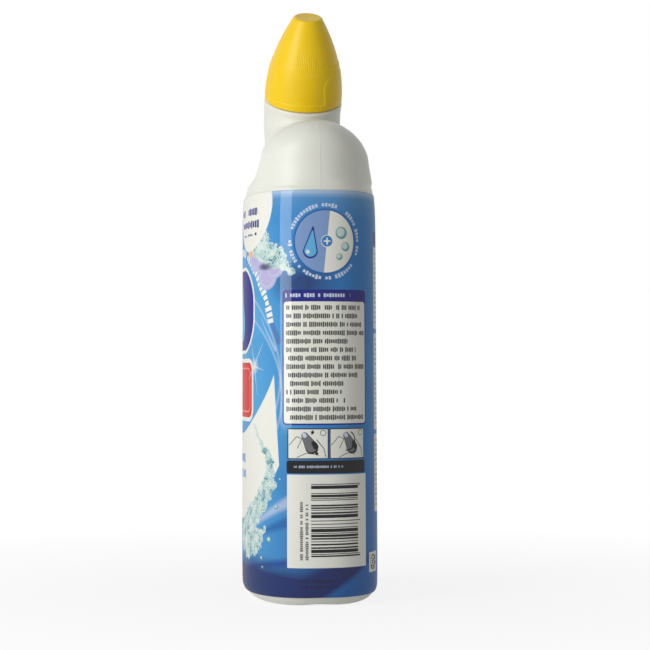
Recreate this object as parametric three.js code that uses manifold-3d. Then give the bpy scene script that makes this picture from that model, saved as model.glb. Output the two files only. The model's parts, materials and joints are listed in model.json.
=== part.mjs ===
// A 750 ml toilet cleaner bottle with a crooked neck, in millimetres, +Z up.
// The front label looks along -Y and the neck's crook opens towards -X.
// The origin is the centre of the foot, on the surface that the bottle stands on.
//
// Pieces: a blow-moulded bottle, a printed film sleeve shrunk round it, the gel inside,
// a nozzle pressed into the neck, a soft liner that closes the nozzle, and a squeeze-and-turn cap.
import * as THREE from "three";
import { mergeVertices } from "three/addons/utils/BufferGeometryUtils.js";
import Module from "manifold-3d";

const wasm = await Module();
wasm.setup();

const DEG = Math.PI / 180;

// Body
const BODY_WIDTH = 86;
const BODY_DEPTH = 59.8;
const BODY_SQUARENESS = 2.4; // 2 is an ellipse, more is squarer
const BODY_DRAFT = 0.5; // taken off each side from the heel to the shoulder
const WALL = 1;
const HEEL_RADIUS = 8;
const FOOT_RING = 6;
const PUSH_UP_HEIGHT = 3.5;
const PUSH_UP_SLOPE = 5;
const PARTING_RECESS = 0.7; // the foot is lifted this much where the mould halves meet
const PARTING_RECESS_WIDTH = 11;

// Shoulder and the notch under the neck
const SHOULDER_HEIGHT = 188;
const SHOULDER_RADIUS = 6;
const SHOULDER_ROUNDING = 0.6; // how much the front and back draw in below the shoulder
const SHOULDER_ROUNDING_HEIGHT = 14;
const SHOULDER_SHELF_DRAW = 0.6; // and again round the shoulder's corner
const NOTCH_GAP = 10.5;
const NOTCH_DEPTH = 57;

// Neck
const NECK_THICKNESS = 16;
const ARCH_RADIUS = 14;
const ARCH_CROWN = 5; // flat run left of the arch's corner
const NECK_TILT = 29 * DEG;
const NECK_FLARE = 7 * DEG;
const COLLAR_X = -19;
const COLLAR_RADIUS = 18.4;
const COLLAR_ROUND = 1.2;
const COLLAR_RUN = 8; // straight run below the collar, outside the bend
const CROOK_RUN = 1; // the same, inside the bend
const CROOK_RADIUS = 3; // inside the bend
const SHOULDER_RUN_UP = 3; // how far up the right wall the shoulder's last section ends
const RISER_RUN_UP = 6; // and the riser's
const RISER_HALF_DEPTH = 27.4;
const ARCH_HALF_DEPTH = 22.3;
const CROOK_HALF_DEPTH = 18.5;
const THROAT_HALF_DEPTH = 18;
const RISER_SQUARENESS = 2.3;
// How far each section's widest place lies from its middle, towards the inside of the neck's turns
const SHOULDER_SKEW = 1;
const RISER_SKEW = 12.4;
const ARCH_SKEW = 6;
const CROOK_SKEW = 1.6;
const THROAT_SKEW = 0.8;

// Threaded finish at the mouth, in its own frame: heights from the collar's flat top
const FINISH_RADIUS = 12;
const FINISH_HEIGHT = 15;
const FINISH_ROUND = 0.6;
const BORE_RADIUS = 9.6;
const LOCK_LUG_REACH = 2.3;
const LOCK_LUG_HEIGHT = 3.2;
const LOCK_LUG_LENGTH = 5;
const LOCK_LUG_CREST = 1; // along the lug, behind its slope
const LOCK_LUG_ROOT = 0.5; // sunk into the finish and the collar
const LOCK_LUG_ANGLE = 150 * DEG;

// Nozzle
const FIT_GAP = 0.3; // between pieces that touch
const NOZZLE_WALL = 1.1;
const NOZZLE_PLUG_DEPTH = 10;
const NOZZLE_PLUG_LEAD = 1.5;
const NOZZLE_PLUG_LEAD_IN = 0.5;
const NOZZLE_FLANGE = 1.4;
const NOZZLE_FLANGE_INSET = 0.6;
const NOZZLE_ROOT_RADIUS = 7.2;
const NOZZLE_TIP_RADIUS = 3.2;
const NOZZLE_LENGTH = 17.4; // from the flange to the tip
const NOZZLE_ORIFICE = 1.6;
const NOZZLE_ORIFICE_RUN = 3;
const NOZZLE_EDGE = 0.4;
const NOZZLE_ROOT_FILLET = 1;

// Cap
const CAP_HEIGHT = 40;
const CAP_RADIUS = 18.05;
const CAP_EDGE = 0.4;
const CAP_BAND_HEIGHT = 3.3;
const CAP_BAND_STEP = 0.18;
const CAP_WAIST_RADIUS = 15.6;
const CAP_WAIST_HEIGHT = 19.6;
const CAP_WAIST_STEP = 0.3;
const CAP_SKIRT_BULGE = 0.35;
const CAP_CONE_BULGE = 0.7;
const CAP_TOP_RADIUS = 6.9;
const CAP_TOP_ROUND = 1;
const CAP_WALL = 1.3;
const CAP_TOP_THICKENING = 0.6;
const CAP_SCREW_WALL = 1;
const CAP_SCREW_CLEARANCE = 0.9;
const CAP_SCREW_START = 4.2;
const SQUEEZE_PAD_ANGLE = 62 * DEG; // from the neck's downhill side
const SQUEEZE_PAD_WIDTH = 21;
const SQUEEZE_PAD_HEIGHT = 14.5;
const SQUEEZE_PAD_ARCH = 7.4; // the arched part of that height
const SQUEEZE_PAD_RISE = 0.25;

// Liner
const LINER_RADIUS = 3.9;
const LINER_THICKNESS = 1.5;
const LINER_SOCKET_WALL = 0.9;
const LINER_SOCKET_OVERLAP = 0.8;
const LINER_BOSS_RADIUS = 2.6;

// Sleeve and gel
const SLEEVE_FILM = 0.25;
const SLEEVE_GAP = 0.2;
const SLEEVE_BOTTOM = 4.2;
const GEL_LEVEL = 182;

// Facets
const AROUND = 40;
const BODY_LEVELS = [0.2, 0.45, 0.7, 0.86, 0.92, 0.96]; // rings between heel and shoulder
const LATHE_FACETS = 40;
const NORMAL_STEP = 1e-3;

const halfWidth = BODY_WIDTH / 2;
const shoulderStart = SHOULDER_HEIGHT - SHOULDER_RADIUS;
const neckUnderside = SHOULDER_HEIGHT + NOTCH_GAP;
const neckTop = neckUnderside + NECK_THICKNESS;
const notchEnd = NOTCH_DEPTH - halfWidth;
const outerLean = NECK_TILT - NECK_FLARE;
const innerLean = NECK_TILT + NECK_FLARE;
const crookRise = CROOK_RADIUS * (1 + Math.sin(innerLean)) + CROOK_RUN * Math.cos(innerLean);
const collarDrop = COLLAR_RADIUS * Math.sin(NECK_TILT) + COLLAR_ROUND * Math.cos(NECK_TILT);
const collarHeight = neckTop + crookRise + collarDrop;
const bodyTaper = (z) => (BODY_DRAFT * Math.max(0, z - HEEL_RADIUS)) / (shoulderStart - HEEL_RADIUS);

const lerp = THREE.MathUtils.lerp;
const flat = (x, z) => new THREE.Vector2(x, z);

// The cap's frame: along the neck's axis, and downhill from it.
const axis = flat(Math.sin(NECK_TILT), Math.cos(NECK_TILT));
const downhill = flat(axis.y, -axis.x);
const collarCentre = flat(COLLAR_X, collarHeight);
const neckPoint = (radius, height) =>
  collarCentre.clone().addScaledVector(downhill, radius).addScaledVector(axis, height);

// Outline of the bottle seen from the front, as a left and a right rail.
const straight = (from, to) => (t) => from.clone().lerp(to, t);
const arc = (centre, radius, from, to) => (t) => {
  const angle = lerp(from, to, t);
  return flat(centre.x + radius * Math.cos(angle), centre.y + radius * Math.sin(angle));
};

// A rail that runs left along a level, bends up and ends at the collar's edge.
function bendUp(level, lean, run, end) {
  const radius = (end.y - level - run * Math.cos(lean)) / (1 + Math.sin(lean));
  const start = end.x + radius * Math.cos(lean) - run * Math.sin(lean);
  const bend = arc(flat(start, level + radius), radius, -90 * DEG, -180 * DEG - lean);
  return { start: flat(start, level), bend, last: straight(bend(1), end) };
}

const outer = bendUp(neckUnderside, outerLean, COLLAR_RUN, neckPoint(-COLLAR_RADIUS, -COLLAR_ROUND));
const inner = bendUp(neckTop, innerLean, CROOK_RUN, neckPoint(COLLAR_RADIUS, -COLLAR_ROUND));

const archCorner = flat(halfWidth - BODY_DRAFT - ARCH_RADIUS, neckTop - ARCH_RADIUS);
const archPath = new THREE.Path()
  .moveTo(halfWidth - BODY_DRAFT, shoulderStart + RISER_RUN_UP)
  .lineTo(halfWidth - BODY_DRAFT, archCorner.y)
  .absarc(archCorner.x, archCorner.y, ARCH_RADIUS, 0, 90 * DEG, false)
  .lineTo(archCorner.x - ARCH_CROWN, neckTop);
const archEnd = flat(archCorner.x - ARCH_CROWN, neckTop);
const shoulderCorner = flat(-halfWidth + BODY_DRAFT + SHOULDER_RADIUS, shoulderStart);
const riserFoot = flat(notchEnd, SHOULDER_HEIGHT);
const rightWall = (z) => flat(halfWidth - BODY_DRAFT, z);

// Spans of the neck from the shoulder to the collar. Half depth, squareness and
// skew of the section are given where each span ends.
const spans = [
  {
    left: arc(shoulderCorner, SHOULDER_RADIUS, 180 * DEG, 90 * DEG),
    right: straight(rightWall(shoulderStart), rightWall(shoulderStart + SHOULDER_RUN_UP)),
    depth: BODY_DEPTH / 2 - BODY_DRAFT - SHOULDER_ROUNDING - SHOULDER_SHELF_DRAW,
    squareness: BODY_SQUARENESS,
    skew: SHOULDER_SKEW,
  },
  {
    left: straight(flat(shoulderCorner.x, SHOULDER_HEIGHT), riserFoot),
    right: straight(rightWall(shoulderStart + SHOULDER_RUN_UP), rightWall(shoulderStart + RISER_RUN_UP)),
    depth: RISER_HALF_DEPTH,
    squareness: RISER_SQUARENESS,
    skew: RISER_SKEW,
  },
  {
    left: arc(flat(notchEnd, SHOULDER_HEIGHT + NOTCH_GAP / 2), NOTCH_GAP / 2, -90 * DEG, 90 * DEG),
    right: (t) => archPath.getPointAt(t),
    depth: ARCH_HALF_DEPTH,
    squareness: 2,
    skew: ARCH_SKEW,
  },
  {
    left: straight(flat(notchEnd, neckUnderside), outer.start),
    right: straight(archEnd, inner.start),
    depth: CROOK_HALF_DEPTH,
    squareness: 2,
    skew: CROOK_SKEW,
  },
  { left: outer.bend, right: inner.bend, depth: THROAT_HALF_DEPTH, squareness: 2, skew: THROAT_SKEW },
  { left: outer.last, right: inner.last, depth: COLLAR_RADIUS, squareness: 2, skew: 0 },
];

// The section at a height of the body: rails, half depth, squareness and skew.
function bodySection(z) {
  const heel = Math.max(0, HEEL_RADIUS - z);
  const inset = HEEL_RADIUS - Math.sqrt(HEEL_RADIUS ** 2 - heel ** 2) + bodyTaper(z);
  const drawn = Math.max(0, z - shoulderStart + SHOULDER_ROUNDING_HEIGHT) / SHOULDER_ROUNDING_HEIGHT;
  return {
    left: flat(-halfWidth + inset, z),
    right: flat(halfWidth - inset, z),
    depth: BODY_DEPTH / 2 - inset - SHOULDER_ROUNDING * drawn ** 2,
    squareness: BODY_SQUARENESS,
    skew: 0,
  };
}

// The section at station v of the neck: span v to v + 1 of the list above.
const stations = [bodySection(shoulderStart), ...spans];
const stationCurve = (key) =>
  new THREE.SplineCurve(stations.map((station, i) => new THREE.Vector2(i, station[key])));
const depthCurve = stationCurve("depth");
const squarenessCurve = stationCurve("squareness");
const skewCurve = stationCurve("skew");

function neckSection(v) {
  const span = Math.min(Math.floor(v), spans.length - 1);
  const share = v / spans.length;
  return {
    left: spans[span].left(v - span),
    right: spans[span].right(v - span),
    depth: depthCurve.getPoint(share).y,
    squareness: Math.max(2, squarenessCurve.getPoint(share).y),
    skew: Math.max(0, skewCurve.getPoint(share).y),
  };
}

// A point of the closed section curve at an angle, 0 on the right rail.
function sectionPoint({ left, right, depth, squareness, skew }, angle) {
  const cos = Math.cos(angle);
  const sin = Math.sin(angle);
  const half = right.clone().sub(left).multiplyScalar(0.5);
  const middle = left.clone().add(half);
  const shift = (skew / half.length()) * sin * sin;
  const along = Math.sign(cos) * Math.abs(cos) ** (2 / squareness) - shift;
  const across = Math.sign(sin) * Math.abs(sin) ** (2 / squareness);
  return new THREE.Vector3(middle.x + half.x * along, depth * across, middle.y + half.y * along);
}

// The outer skin: v below 0 is the body, by height, and v from 0 is the neck, by station.
const skinSection = (v) => (v < 0 ? bodySection(shoulderStart + v) : neckSection(v));
const skinPoint = (v, angle) => sectionPoint(skinSection(v), angle);

// A point at a distance outside the skin, or inside it where the distance is negative.
function offsetPoint(v, angle, distance) {
  const last = spans.length;
  const before = Math.max(v - NORMAL_STEP, -shoulderStart);
  const after = Math.min(v + NORMAL_STEP, last);
  const along = skinPoint(after, angle).sub(skinPoint(before, angle));
  const around = skinPoint(v, angle + NORMAL_STEP).sub(skinPoint(v, angle - NORMAL_STEP));
  return skinPoint(v, angle).addScaledVector(around.cross(along).normalize(), distance);
}

const angles = Array.from({ length: AROUND }, (_, i) => (i / AROUND) * 2 * Math.PI);
const skinRing = (v, distance = 0) =>
  angles.map((angle) => (distance ? offsetPoint(v, angle, distance) : skinPoint(v, angle)));
const neckRing = (radius, height) =>
  angles.map((angle) => {
    const p = neckPoint(radius * Math.cos(angle), height);
    return new THREE.Vector3(p.x, radius * Math.sin(angle), p.y);
  });

// Stations from one v to another, in equal steps, without the last.
const steps = (from, to, count) => Array.from({ length: count }, (_, i) => lerp(from, to, i / count));

// Heights up the body: the heel by angle, and a few levels above it.
const heelHeights = (count) =>
  Array.from({ length: count }, (_, i) => HEEL_RADIUS * (1 - Math.cos((((i + 1) / count) * Math.PI) / 2)));
const bodyHeights = (count) => [
  ...heelHeights(count),
  ...BODY_LEVELS.map((share) => lerp(HEEL_RADIUS, shoulderStart, share)),
];
const bodyStations = (count) => bodyHeights(count).map((z) => z - shoulderStart);
const neckStations = (counts) => counts.flatMap((count, span) => steps(span, span + 1, count));

// A mesh from rings of points, either closed on itself or ended by a pole at each end.
function ringMesh(rings, poles) {
  const points = rings.flat();
  const index = [];
  const joined = poles ? rings.length - 1 : rings.length;
  for (let r = 0; r < joined; r++) {
    for (let i = 0; i < AROUND; i++) {
      const next = (i + 1) % AROUND;
      const above = ((r + 1) % rings.length) * AROUND;
      index.push(r * AROUND + i, r * AROUND + next, above + next);
      index.push(r * AROUND + i, above + next, above + i);
    }
  }
  if (poles) {
    const top = (rings.length - 1) * AROUND;
    for (let i = 0; i < AROUND; i++) {
      const next = (i + 1) % AROUND;
      index.push(points.length, next, i);
      index.push(points.length + 1, top + i, top + next);
    }
    points.push(...poles);
  }
  const geometry = new THREE.BufferGeometry().setFromPoints(points);
  return geometry.setIndex(index);
}

// The foot: a flat ring round a push-up, lifted a little at the mould's parting plane.
const footSection = (extra) => ({
  ...bodySection(0),
  left: flat(-halfWidth + HEEL_RADIUS + extra, 0),
  right: flat(halfWidth - HEEL_RADIUS - extra, 0),
  depth: BODY_DEPTH / 2 - HEEL_RADIUS - extra,
});
const footRing = (extra, lift) =>
  angles.map((angle) => {
    const p = sectionPoint(footSection(extra), angle);
    return p.setZ(lift);
  });
const partingLift = (y, z) => {
  const off = (2 * y) / PARTING_RECESS_WIDTH;
  return PARTING_RECESS * Math.exp(-off * off) * Math.max(0, 1 - z / HEEL_RADIUS) ** 2;
};
const liftAtParting = (ring) => ring.map((p) => p.setZ(p.z + partingLift(p.y, p.z)));

const footOutside = [
  footRing(FOOT_RING + PUSH_UP_SLOPE, PUSH_UP_HEIGHT),
  liftAtParting(footRing(FOOT_RING, 0)),
  liftAtParting(footRing(0, 0)),
];
const footInside = [
  footRing(FOOT_RING + PUSH_UP_SLOPE - WALL, PUSH_UP_HEIGHT + WALL),
  footRing(FOOT_RING - WALL / 2, WALL + PARTING_RECESS),
  footRing(WALL / 2, WALL + PARTING_RECESS),
];

const NECK_STEPS = [4, 4, 10, 3, 8, 2];
const NECK_STEPS_INSIDE = [3, 3, 8, 2, 7, 2];
const outside = [
  ...footOutside,
  ...bodyStations(6).map((v) => liftAtParting(skinRing(v))),
  ...neckStations(NECK_STEPS).map((v) => skinRing(v)),
  skinRing(spans.length),
];
const roundStep = COLLAR_ROUND * (1 - Math.SQRT1_2);
const mouth = [
  neckRing(COLLAR_RADIUS - roundStep, -roundStep),
  neckRing(COLLAR_RADIUS - COLLAR_ROUND, 0),
  neckRing(FINISH_RADIUS + FINISH_ROUND, 0),
  neckRing(FINISH_RADIUS, FINISH_ROUND),
  neckRing(FINISH_RADIUS, FINISH_HEIGHT - FINISH_ROUND),
  neckRing(FINISH_RADIUS - FINISH_ROUND, FINISH_HEIGHT),
  neckRing(BORE_RADIUS, FINISH_HEIGHT),
  neckRing(BORE_RADIUS, -WALL),
  neckRing(COLLAR_RADIUS - 2 * WALL, -WALL - COLLAR_ROUND),
];
const insideEnd = spans.length - (2 * WALL + COLLAR_ROUND) / COLLAR_RUN;
const insideStations = [...bodyStations(5), ...neckStations(NECK_STEPS_INSIDE), insideEnd];
const inside = [...footInside, ...insideStations.map((v) => skinRing(v, -WALL))];

const poleAt = (z) => new THREE.Vector3(0, 0, z);
const bottleShell = ringMesh(
  [...outside, ...mouth, ...inside.reverse()],
  [poleAt(PUSH_UP_HEIGHT), poleAt(PUSH_UP_HEIGHT + WALL)],
);

// Conversions between three.js geometry and manifold-3d solids.
function toSolid(geometry) {
  const bare = geometry.clone().deleteAttribute("normal").deleteAttribute("uv");
  const merged = mergeVertices(bare, 1e-4);
  return new wasm.Manifold(
    new wasm.Mesh({
      numProp: 3,
      vertProperties: merged.getAttribute("position").array,
      triVerts: new Uint32Array(merged.getIndex().array),
    }),
  );
}
function toGeometry(solid) {
  const { numProp, vertProperties, triVerts } = solid.getMesh();
  const points = [];
  for (let i = 0; i < vertProperties.length; i += numProp) {
    points.push(new THREE.Vector3(...vertProperties.subarray(i, i + 3)));
  }
  return new THREE.BufferGeometry().setFromPoints(points).setIndex(Array.from(triVerts));
}

// A turned piece about the local Z, from a profile of [radius, height] pairs.
// The profile runs up the outside, or ends on the axis, so that its faces point out.
function turned(profile) {
  const points = profile.map(([radius, height]) => new THREE.Vector2(radius, height));
  return new THREE.LatheGeometry(points, LATHE_FACETS).rotateX(90 * DEG);
}

// Places a piece made about the local Z, with the local X downhill, on the neck.
const onNeck = new THREE.Matrix4().makeBasis(
  new THREE.Vector3(downhill.x, 0, downhill.y),
  new THREE.Vector3(0, 1, 0),
  new THREE.Vector3(axis.x, 0, axis.y),
);
onNeck.setPosition(collarCentre.x, 0, collarCentre.y);

// Two ratchet lugs at the root of the finish, which stop the cap until its sides are squeezed.
function lockLugs() {
  const shape = new THREE.Shape([
    flat(FINISH_RADIUS - LOCK_LUG_ROOT, -LOCK_LUG_LENGTH / 2),
    flat(FINISH_RADIUS + LOCK_LUG_REACH, LOCK_LUG_LENGTH / 2 - LOCK_LUG_CREST),
    flat(FINISH_RADIUS + LOCK_LUG_REACH, LOCK_LUG_LENGTH / 2),
    flat(FINISH_RADIUS - LOCK_LUG_ROOT, LOCK_LUG_LENGTH / 2),
  ]);
  return [0, 180 * DEG].map((turn) => {
    const depth = LOCK_LUG_HEIGHT + LOCK_LUG_ROOT;
    const lug = new THREE.ExtrudeGeometry(shape, { depth, bevelEnabled: false });
    lug.translate(0, 0, -LOCK_LUG_ROOT).rotateZ(LOCK_LUG_ANGLE + turn);
    return toSolid(lug.applyMatrix4(onNeck));
  });
}

function bottleGeometry() {
  const solid = lockLugs().reduce((sum, lug) => sum.add(lug), toSolid(bottleShell));
  return toGeometry(solid);
}

// The sleeve follows the skin from the heel to the shoulder.
function sleeveGeometry() {
  const heights = [SLEEVE_BOTTOM, ...bodyHeights(6).filter((z) => z > SLEEVE_BOTTOM + 1), shoulderStart];
  const wall = (distance) =>
    heights.map((z) => liftAtParting(skinRing(Math.min(z - shoulderStart, -2 * NORMAL_STEP), distance)));
  return ringMesh([...wall(SLEEVE_GAP + SLEEVE_FILM), ...wall(SLEEVE_GAP).reverse()]);
}

// The gel fills the inside up to a level surface.
function gelGeometry() {
  const inset = -WALL - FIT_GAP;
  const foot = [
    footRing(FOOT_RING + PUSH_UP_SLOPE - WALL - FIT_GAP, PUSH_UP_HEIGHT + WALL + FIT_GAP),
    footRing(FOOT_RING - WALL / 2, WALL + PARTING_RECESS + FIT_GAP),
    footRing(WALL / 2 + FIT_GAP, WALL + PARTING_RECESS + FIT_GAP),
  ];
  const stationsUp = [...bodyStations(5), ...neckStations([3, 4])];
  const rings = [...foot, ...stationsUp.map((v) => skinRing(v, inset))];
  const poles = [poleAt(PUSH_UP_HEIGHT + WALL + FIT_GAP), skinPoint(2, 0).lerp(skinPoint(2, Math.PI), 0.5)];
  const full = toSolid(ringMesh(rings, poles));
  const level = new THREE.BoxGeometry(2 * BODY_WIDTH, 2 * BODY_DEPTH, 2 * GEL_LEVEL);
  return toGeometry(full.intersect(toSolid(level)));
}

// The nozzle: a plug in the bore, a flange on the mouth and a tapered spout.
const flangeFoot = FINISH_HEIGHT + FIT_GAP;
const flangeTop = flangeFoot + NOZZLE_FLANGE;
const nozzleTip = flangeTop + NOZZLE_LENGTH;
function nozzleGeometry() {
  const plug = BORE_RADIUS - FIT_GAP;
  const bottom = FINISH_HEIGHT - NOZZLE_PLUG_DEPTH;
  return turned([
    [plug - NOZZLE_PLUG_LEAD_IN, bottom],
    [plug, bottom + NOZZLE_PLUG_LEAD],
    [plug, flangeFoot],
    [FINISH_RADIUS - NOZZLE_FLANGE_INSET, flangeFoot],
    [FINISH_RADIUS - NOZZLE_FLANGE_INSET, flangeTop],
    [NOZZLE_ROOT_RADIUS + NOZZLE_ROOT_FILLET, flangeTop],
    [NOZZLE_ROOT_RADIUS, flangeTop + NOZZLE_ROOT_FILLET],
    [NOZZLE_TIP_RADIUS, nozzleTip - NOZZLE_EDGE],
    [NOZZLE_TIP_RADIUS - NOZZLE_EDGE, nozzleTip],
    [NOZZLE_ORIFICE, nozzleTip],
    [NOZZLE_ORIFICE, nozzleTip - NOZZLE_ORIFICE_RUN],
    [NOZZLE_ROOT_RADIUS - NOZZLE_WALL, flangeTop],
    [plug - NOZZLE_WALL, flangeFoot - NOZZLE_WALL],
    [plug - NOZZLE_WALL, bottom],
    [plug - NOZZLE_PLUG_LEAD_IN, bottom],
  ]);
}

// The cap, heights again from the collar's flat top.
const capFoot = FIT_GAP;
const topStep = CAP_TOP_ROUND * (1 - Math.SQRT1_2);
const capTop = capFoot + CAP_HEIGHT;
const waistTop = CAP_WAIST_HEIGHT + CAP_WAIST_STEP;
const coneTop = capTop - CAP_TOP_ROUND;
const coneRadius = (height) =>
  lerp(CAP_WAIST_RADIUS - CAP_WAIST_STEP, CAP_TOP_RADIUS, (height - waistTop) / (coneTop - waistTop));
const coneHeight = (radius) =>
  lerp(waistTop, coneTop, (coneRadius(waistTop) - radius) / (coneRadius(waistTop) - CAP_TOP_RADIUS));
const skirtRadius = (height) => {
  const share = (height - CAP_BAND_HEIGHT) / (CAP_WAIST_HEIGHT - CAP_BAND_HEIGHT);
  const chord = lerp(CAP_RADIUS - CAP_BAND_STEP, CAP_WAIST_RADIUS, share);
  return chord + 4 * CAP_SKIRT_BULGE * share * (1 - share);
};
const QUARTERS = [0, 0.25, 0.5, 0.75, 1];
const skirtHeights = QUARTERS.map((share) => lerp(CAP_BAND_HEIGHT, CAP_WAIST_HEIGHT, share));
const conePoints = QUARTERS.map((share) => {
  const height = lerp(waistTop, coneTop, share);
  return [coneRadius(height) + 4 * CAP_CONE_BULGE * share * (1 - share), height];
});

const screwRadius = FINISH_RADIUS + CAP_SCREW_CLEARANCE;
const socketRadius = LINER_RADIUS + FIT_GAP;
const linerFoot = nozzleTip + FIT_GAP;
const linerTop = linerFoot + LINER_THICKNESS;
const plateInside = capTop - CAP_WALL;

// The cap's outside from the foot to the top, or a skin that stands proud of it.
const capOutside = (proud = 0) => [
  [CAP_RADIUS - CAP_EDGE + proud, capFoot],
  [CAP_RADIUS + proud, capFoot + CAP_EDGE],
  [CAP_RADIUS + proud, CAP_BAND_HEIGHT - CAP_BAND_STEP],
  ...skirtHeights.map((height) => [skirtRadius(height) + proud, height]),
  [coneRadius(waistTop) + proud, waistTop],
];
function capGeometry() {
  const wallInside = skirtHeights.map((height) => [skirtRadius(height) - CAP_WALL, height]);
  const screwOutside = screwRadius + CAP_SCREW_WALL;
  const socketOutside = socketRadius + LINER_SOCKET_WALL;
  const body = turned([
    [0, linerTop + FIT_GAP],
    [LINER_BOSS_RADIUS, linerTop + FIT_GAP],
    [LINER_BOSS_RADIUS, plateInside],
    [socketRadius, plateInside],
    [socketRadius, nozzleTip - LINER_SOCKET_OVERLAP],
    [socketOutside, nozzleTip - LINER_SOCKET_OVERLAP],
    [socketOutside, coneHeight(socketOutside + CAP_WALL + CAP_TOP_THICKENING)],
    [screwRadius, coneHeight(screwRadius + CAP_WALL)],
    [screwRadius, CAP_SCREW_START],
    [screwOutside, CAP_SCREW_START],
    [screwOutside, CAP_WAIST_HEIGHT - CAP_WALL],
    ...wallInside.slice(1, -1).reverse(),
    [CAP_RADIUS - CAP_WALL, CAP_BAND_HEIGHT],
    [CAP_RADIUS - CAP_WALL, capFoot],
    ...capOutside(),
    ...conePoints.slice(1),
    [CAP_TOP_RADIUS - topStep, capTop - topStep],
    [CAP_TOP_RADIUS - CAP_TOP_ROUND, capTop],
    [0, capTop],
  ]);
  return toGeometry(squeezePads().reduce((sum, pad) => sum.add(pad), toSolid(body)));
}

// The two arched pads that are squeezed together while the cap is turned.
function squeezePads() {
  const half = SQUEEZE_PAD_WIDTH / 2;
  const springing = CAP_BAND_HEIGHT + SQUEEZE_PAD_HEIGHT - SQUEEZE_PAD_ARCH;
  const arch = new THREE.Shape()
    .moveTo(-half, CAP_BAND_HEIGHT)
    .lineTo(half, CAP_BAND_HEIGHT)
    .lineTo(half, springing)
    .absellipse(0, springing, half, SQUEEZE_PAD_ARCH, 0, 180 * DEG, false);
  const proud = capOutside(SQUEEZE_PAD_RISE);
  const sunk = capOutside(-CAP_WALL / 2).reverse();
  const skin = toSolid(turned([...proud, ...sunk, proud[0]]));
  return [0, 180 * DEG].map((turn) => {
    const depth = CAP_RADIUS + 2 * SQUEEZE_PAD_RISE;
    const block = new THREE.ExtrudeGeometry(arch, { depth, bevelEnabled: false, curveSegments: 10 });
    block.applyMatrix4(
      new THREE.Matrix4().makeBasis(
        new THREE.Vector3(0, 1, 0),
        new THREE.Vector3(0, 0, 1),
        new THREE.Vector3(1, 0, 0),
      ),
    );
    return toSolid(block.rotateZ(SQUEEZE_PAD_ANGLE + turn)).intersect(skin);
  });
}

function linerGeometry() {
  return turned([
    [0, linerFoot],
    [LINER_RADIUS, linerFoot],
    [LINER_RADIUS, linerTop],
    [0, linerTop],
  ]);
}

const finish = (color, roughness) => new THREE.MeshStandardMaterial({ color, roughness, metalness: 0 });
function piece(name, geometry, material) {
  geometry.computeVertexNormals();
  const mesh = new THREE.Mesh(geometry, material);
  mesh.name = name;
  return mesh;
}

const neckGroup = new THREE.Group();
neckGroup.applyMatrix4(onNeck);
neckGroup.add(
  piece("nozzle_insert", nozzleGeometry(), finish(0xf0f0ea, 0.45)),
  piece("cap_liner", linerGeometry(), finish(0xf4f4f0, 0.9)),
  piece("cap", capGeometry(), finish(0xf4cf1c, 0.4)),
);

const toiletCleaner = new THREE.Group();
toiletCleaner.add(
  piece("bottle", bottleGeometry(), finish(0xe9e9df, 0.5)),
  piece("shrink_sleeve", sleeveGeometry(), finish(0x1f7fc4, 0.2)),
  piece("cleaning_gel", gelGeometry(), finish(0x3fa8d8, 0.1)),
  neckGroup,
);

export default toiletCleaner;
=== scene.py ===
"""Looks of a toilet cleaner bottle with a crooked neck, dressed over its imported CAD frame.

The bottle stands on the floor at the origin, its front label looks along -Y and the crook of
its neck opens towards -X. Lengths are in metres, and the print of the sleeve is laid out in
millimetres on the film itself.
"""

from __future__ import annotations

import json
import logging
import math
from dataclasses import dataclass
from enum import Enum
from functools import partial, reduce
from typing import Callable, NamedTuple, Optional, Sequence, Union

import bmesh
import bpy
from mathutils import Matrix, Vector

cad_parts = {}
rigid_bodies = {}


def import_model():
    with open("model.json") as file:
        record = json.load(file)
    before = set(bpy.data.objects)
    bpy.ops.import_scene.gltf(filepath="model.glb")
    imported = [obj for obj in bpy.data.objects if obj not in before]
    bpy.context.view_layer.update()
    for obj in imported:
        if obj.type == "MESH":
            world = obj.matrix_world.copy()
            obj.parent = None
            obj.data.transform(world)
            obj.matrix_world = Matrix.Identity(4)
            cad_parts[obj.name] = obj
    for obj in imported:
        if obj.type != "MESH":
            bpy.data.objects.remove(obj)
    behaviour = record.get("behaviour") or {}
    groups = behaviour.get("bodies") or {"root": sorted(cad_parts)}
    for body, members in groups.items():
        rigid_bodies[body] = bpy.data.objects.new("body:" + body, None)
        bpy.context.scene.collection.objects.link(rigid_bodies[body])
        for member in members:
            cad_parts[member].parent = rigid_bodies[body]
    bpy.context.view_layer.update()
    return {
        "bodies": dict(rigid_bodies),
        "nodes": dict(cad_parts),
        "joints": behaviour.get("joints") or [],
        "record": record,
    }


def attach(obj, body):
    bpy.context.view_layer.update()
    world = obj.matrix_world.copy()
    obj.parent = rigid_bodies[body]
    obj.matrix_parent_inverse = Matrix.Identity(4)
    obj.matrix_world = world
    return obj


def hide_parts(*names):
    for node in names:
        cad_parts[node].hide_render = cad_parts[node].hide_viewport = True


log = logging.getLogger("toilet_cleaner")

MM = 0.001
TURN = 2 * math.pi
UV_NAME = "film_mm"
PRINT_EDGE = 0.14
ROW_STRIDE = 57.31
WELD_DISTANCE = 1e-7
CAD_WELD_DISTANCE = 2e-6
LEVEL_TOLERANCE = 1e-5
SAME_PLANE_ANGLE = math.radians(40)
SQUARE_CORNER_ANGLE = math.radians(60)


class Body(str, Enum):
    """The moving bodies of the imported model."""

    BOTTLE = "filled_bottle"
    LINER = "liner"
    CAP = "cap"


class Slot(str, Enum):
    """The record's material slots of the pieces that the scene makes."""

    BOTTLE = "bottle_white"
    SLEEVE = "sleeve_film"
    NOZZLE = "nozzle_white"
    LINER = "liner_foam"
    CAP = "cap_yellow"


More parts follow.
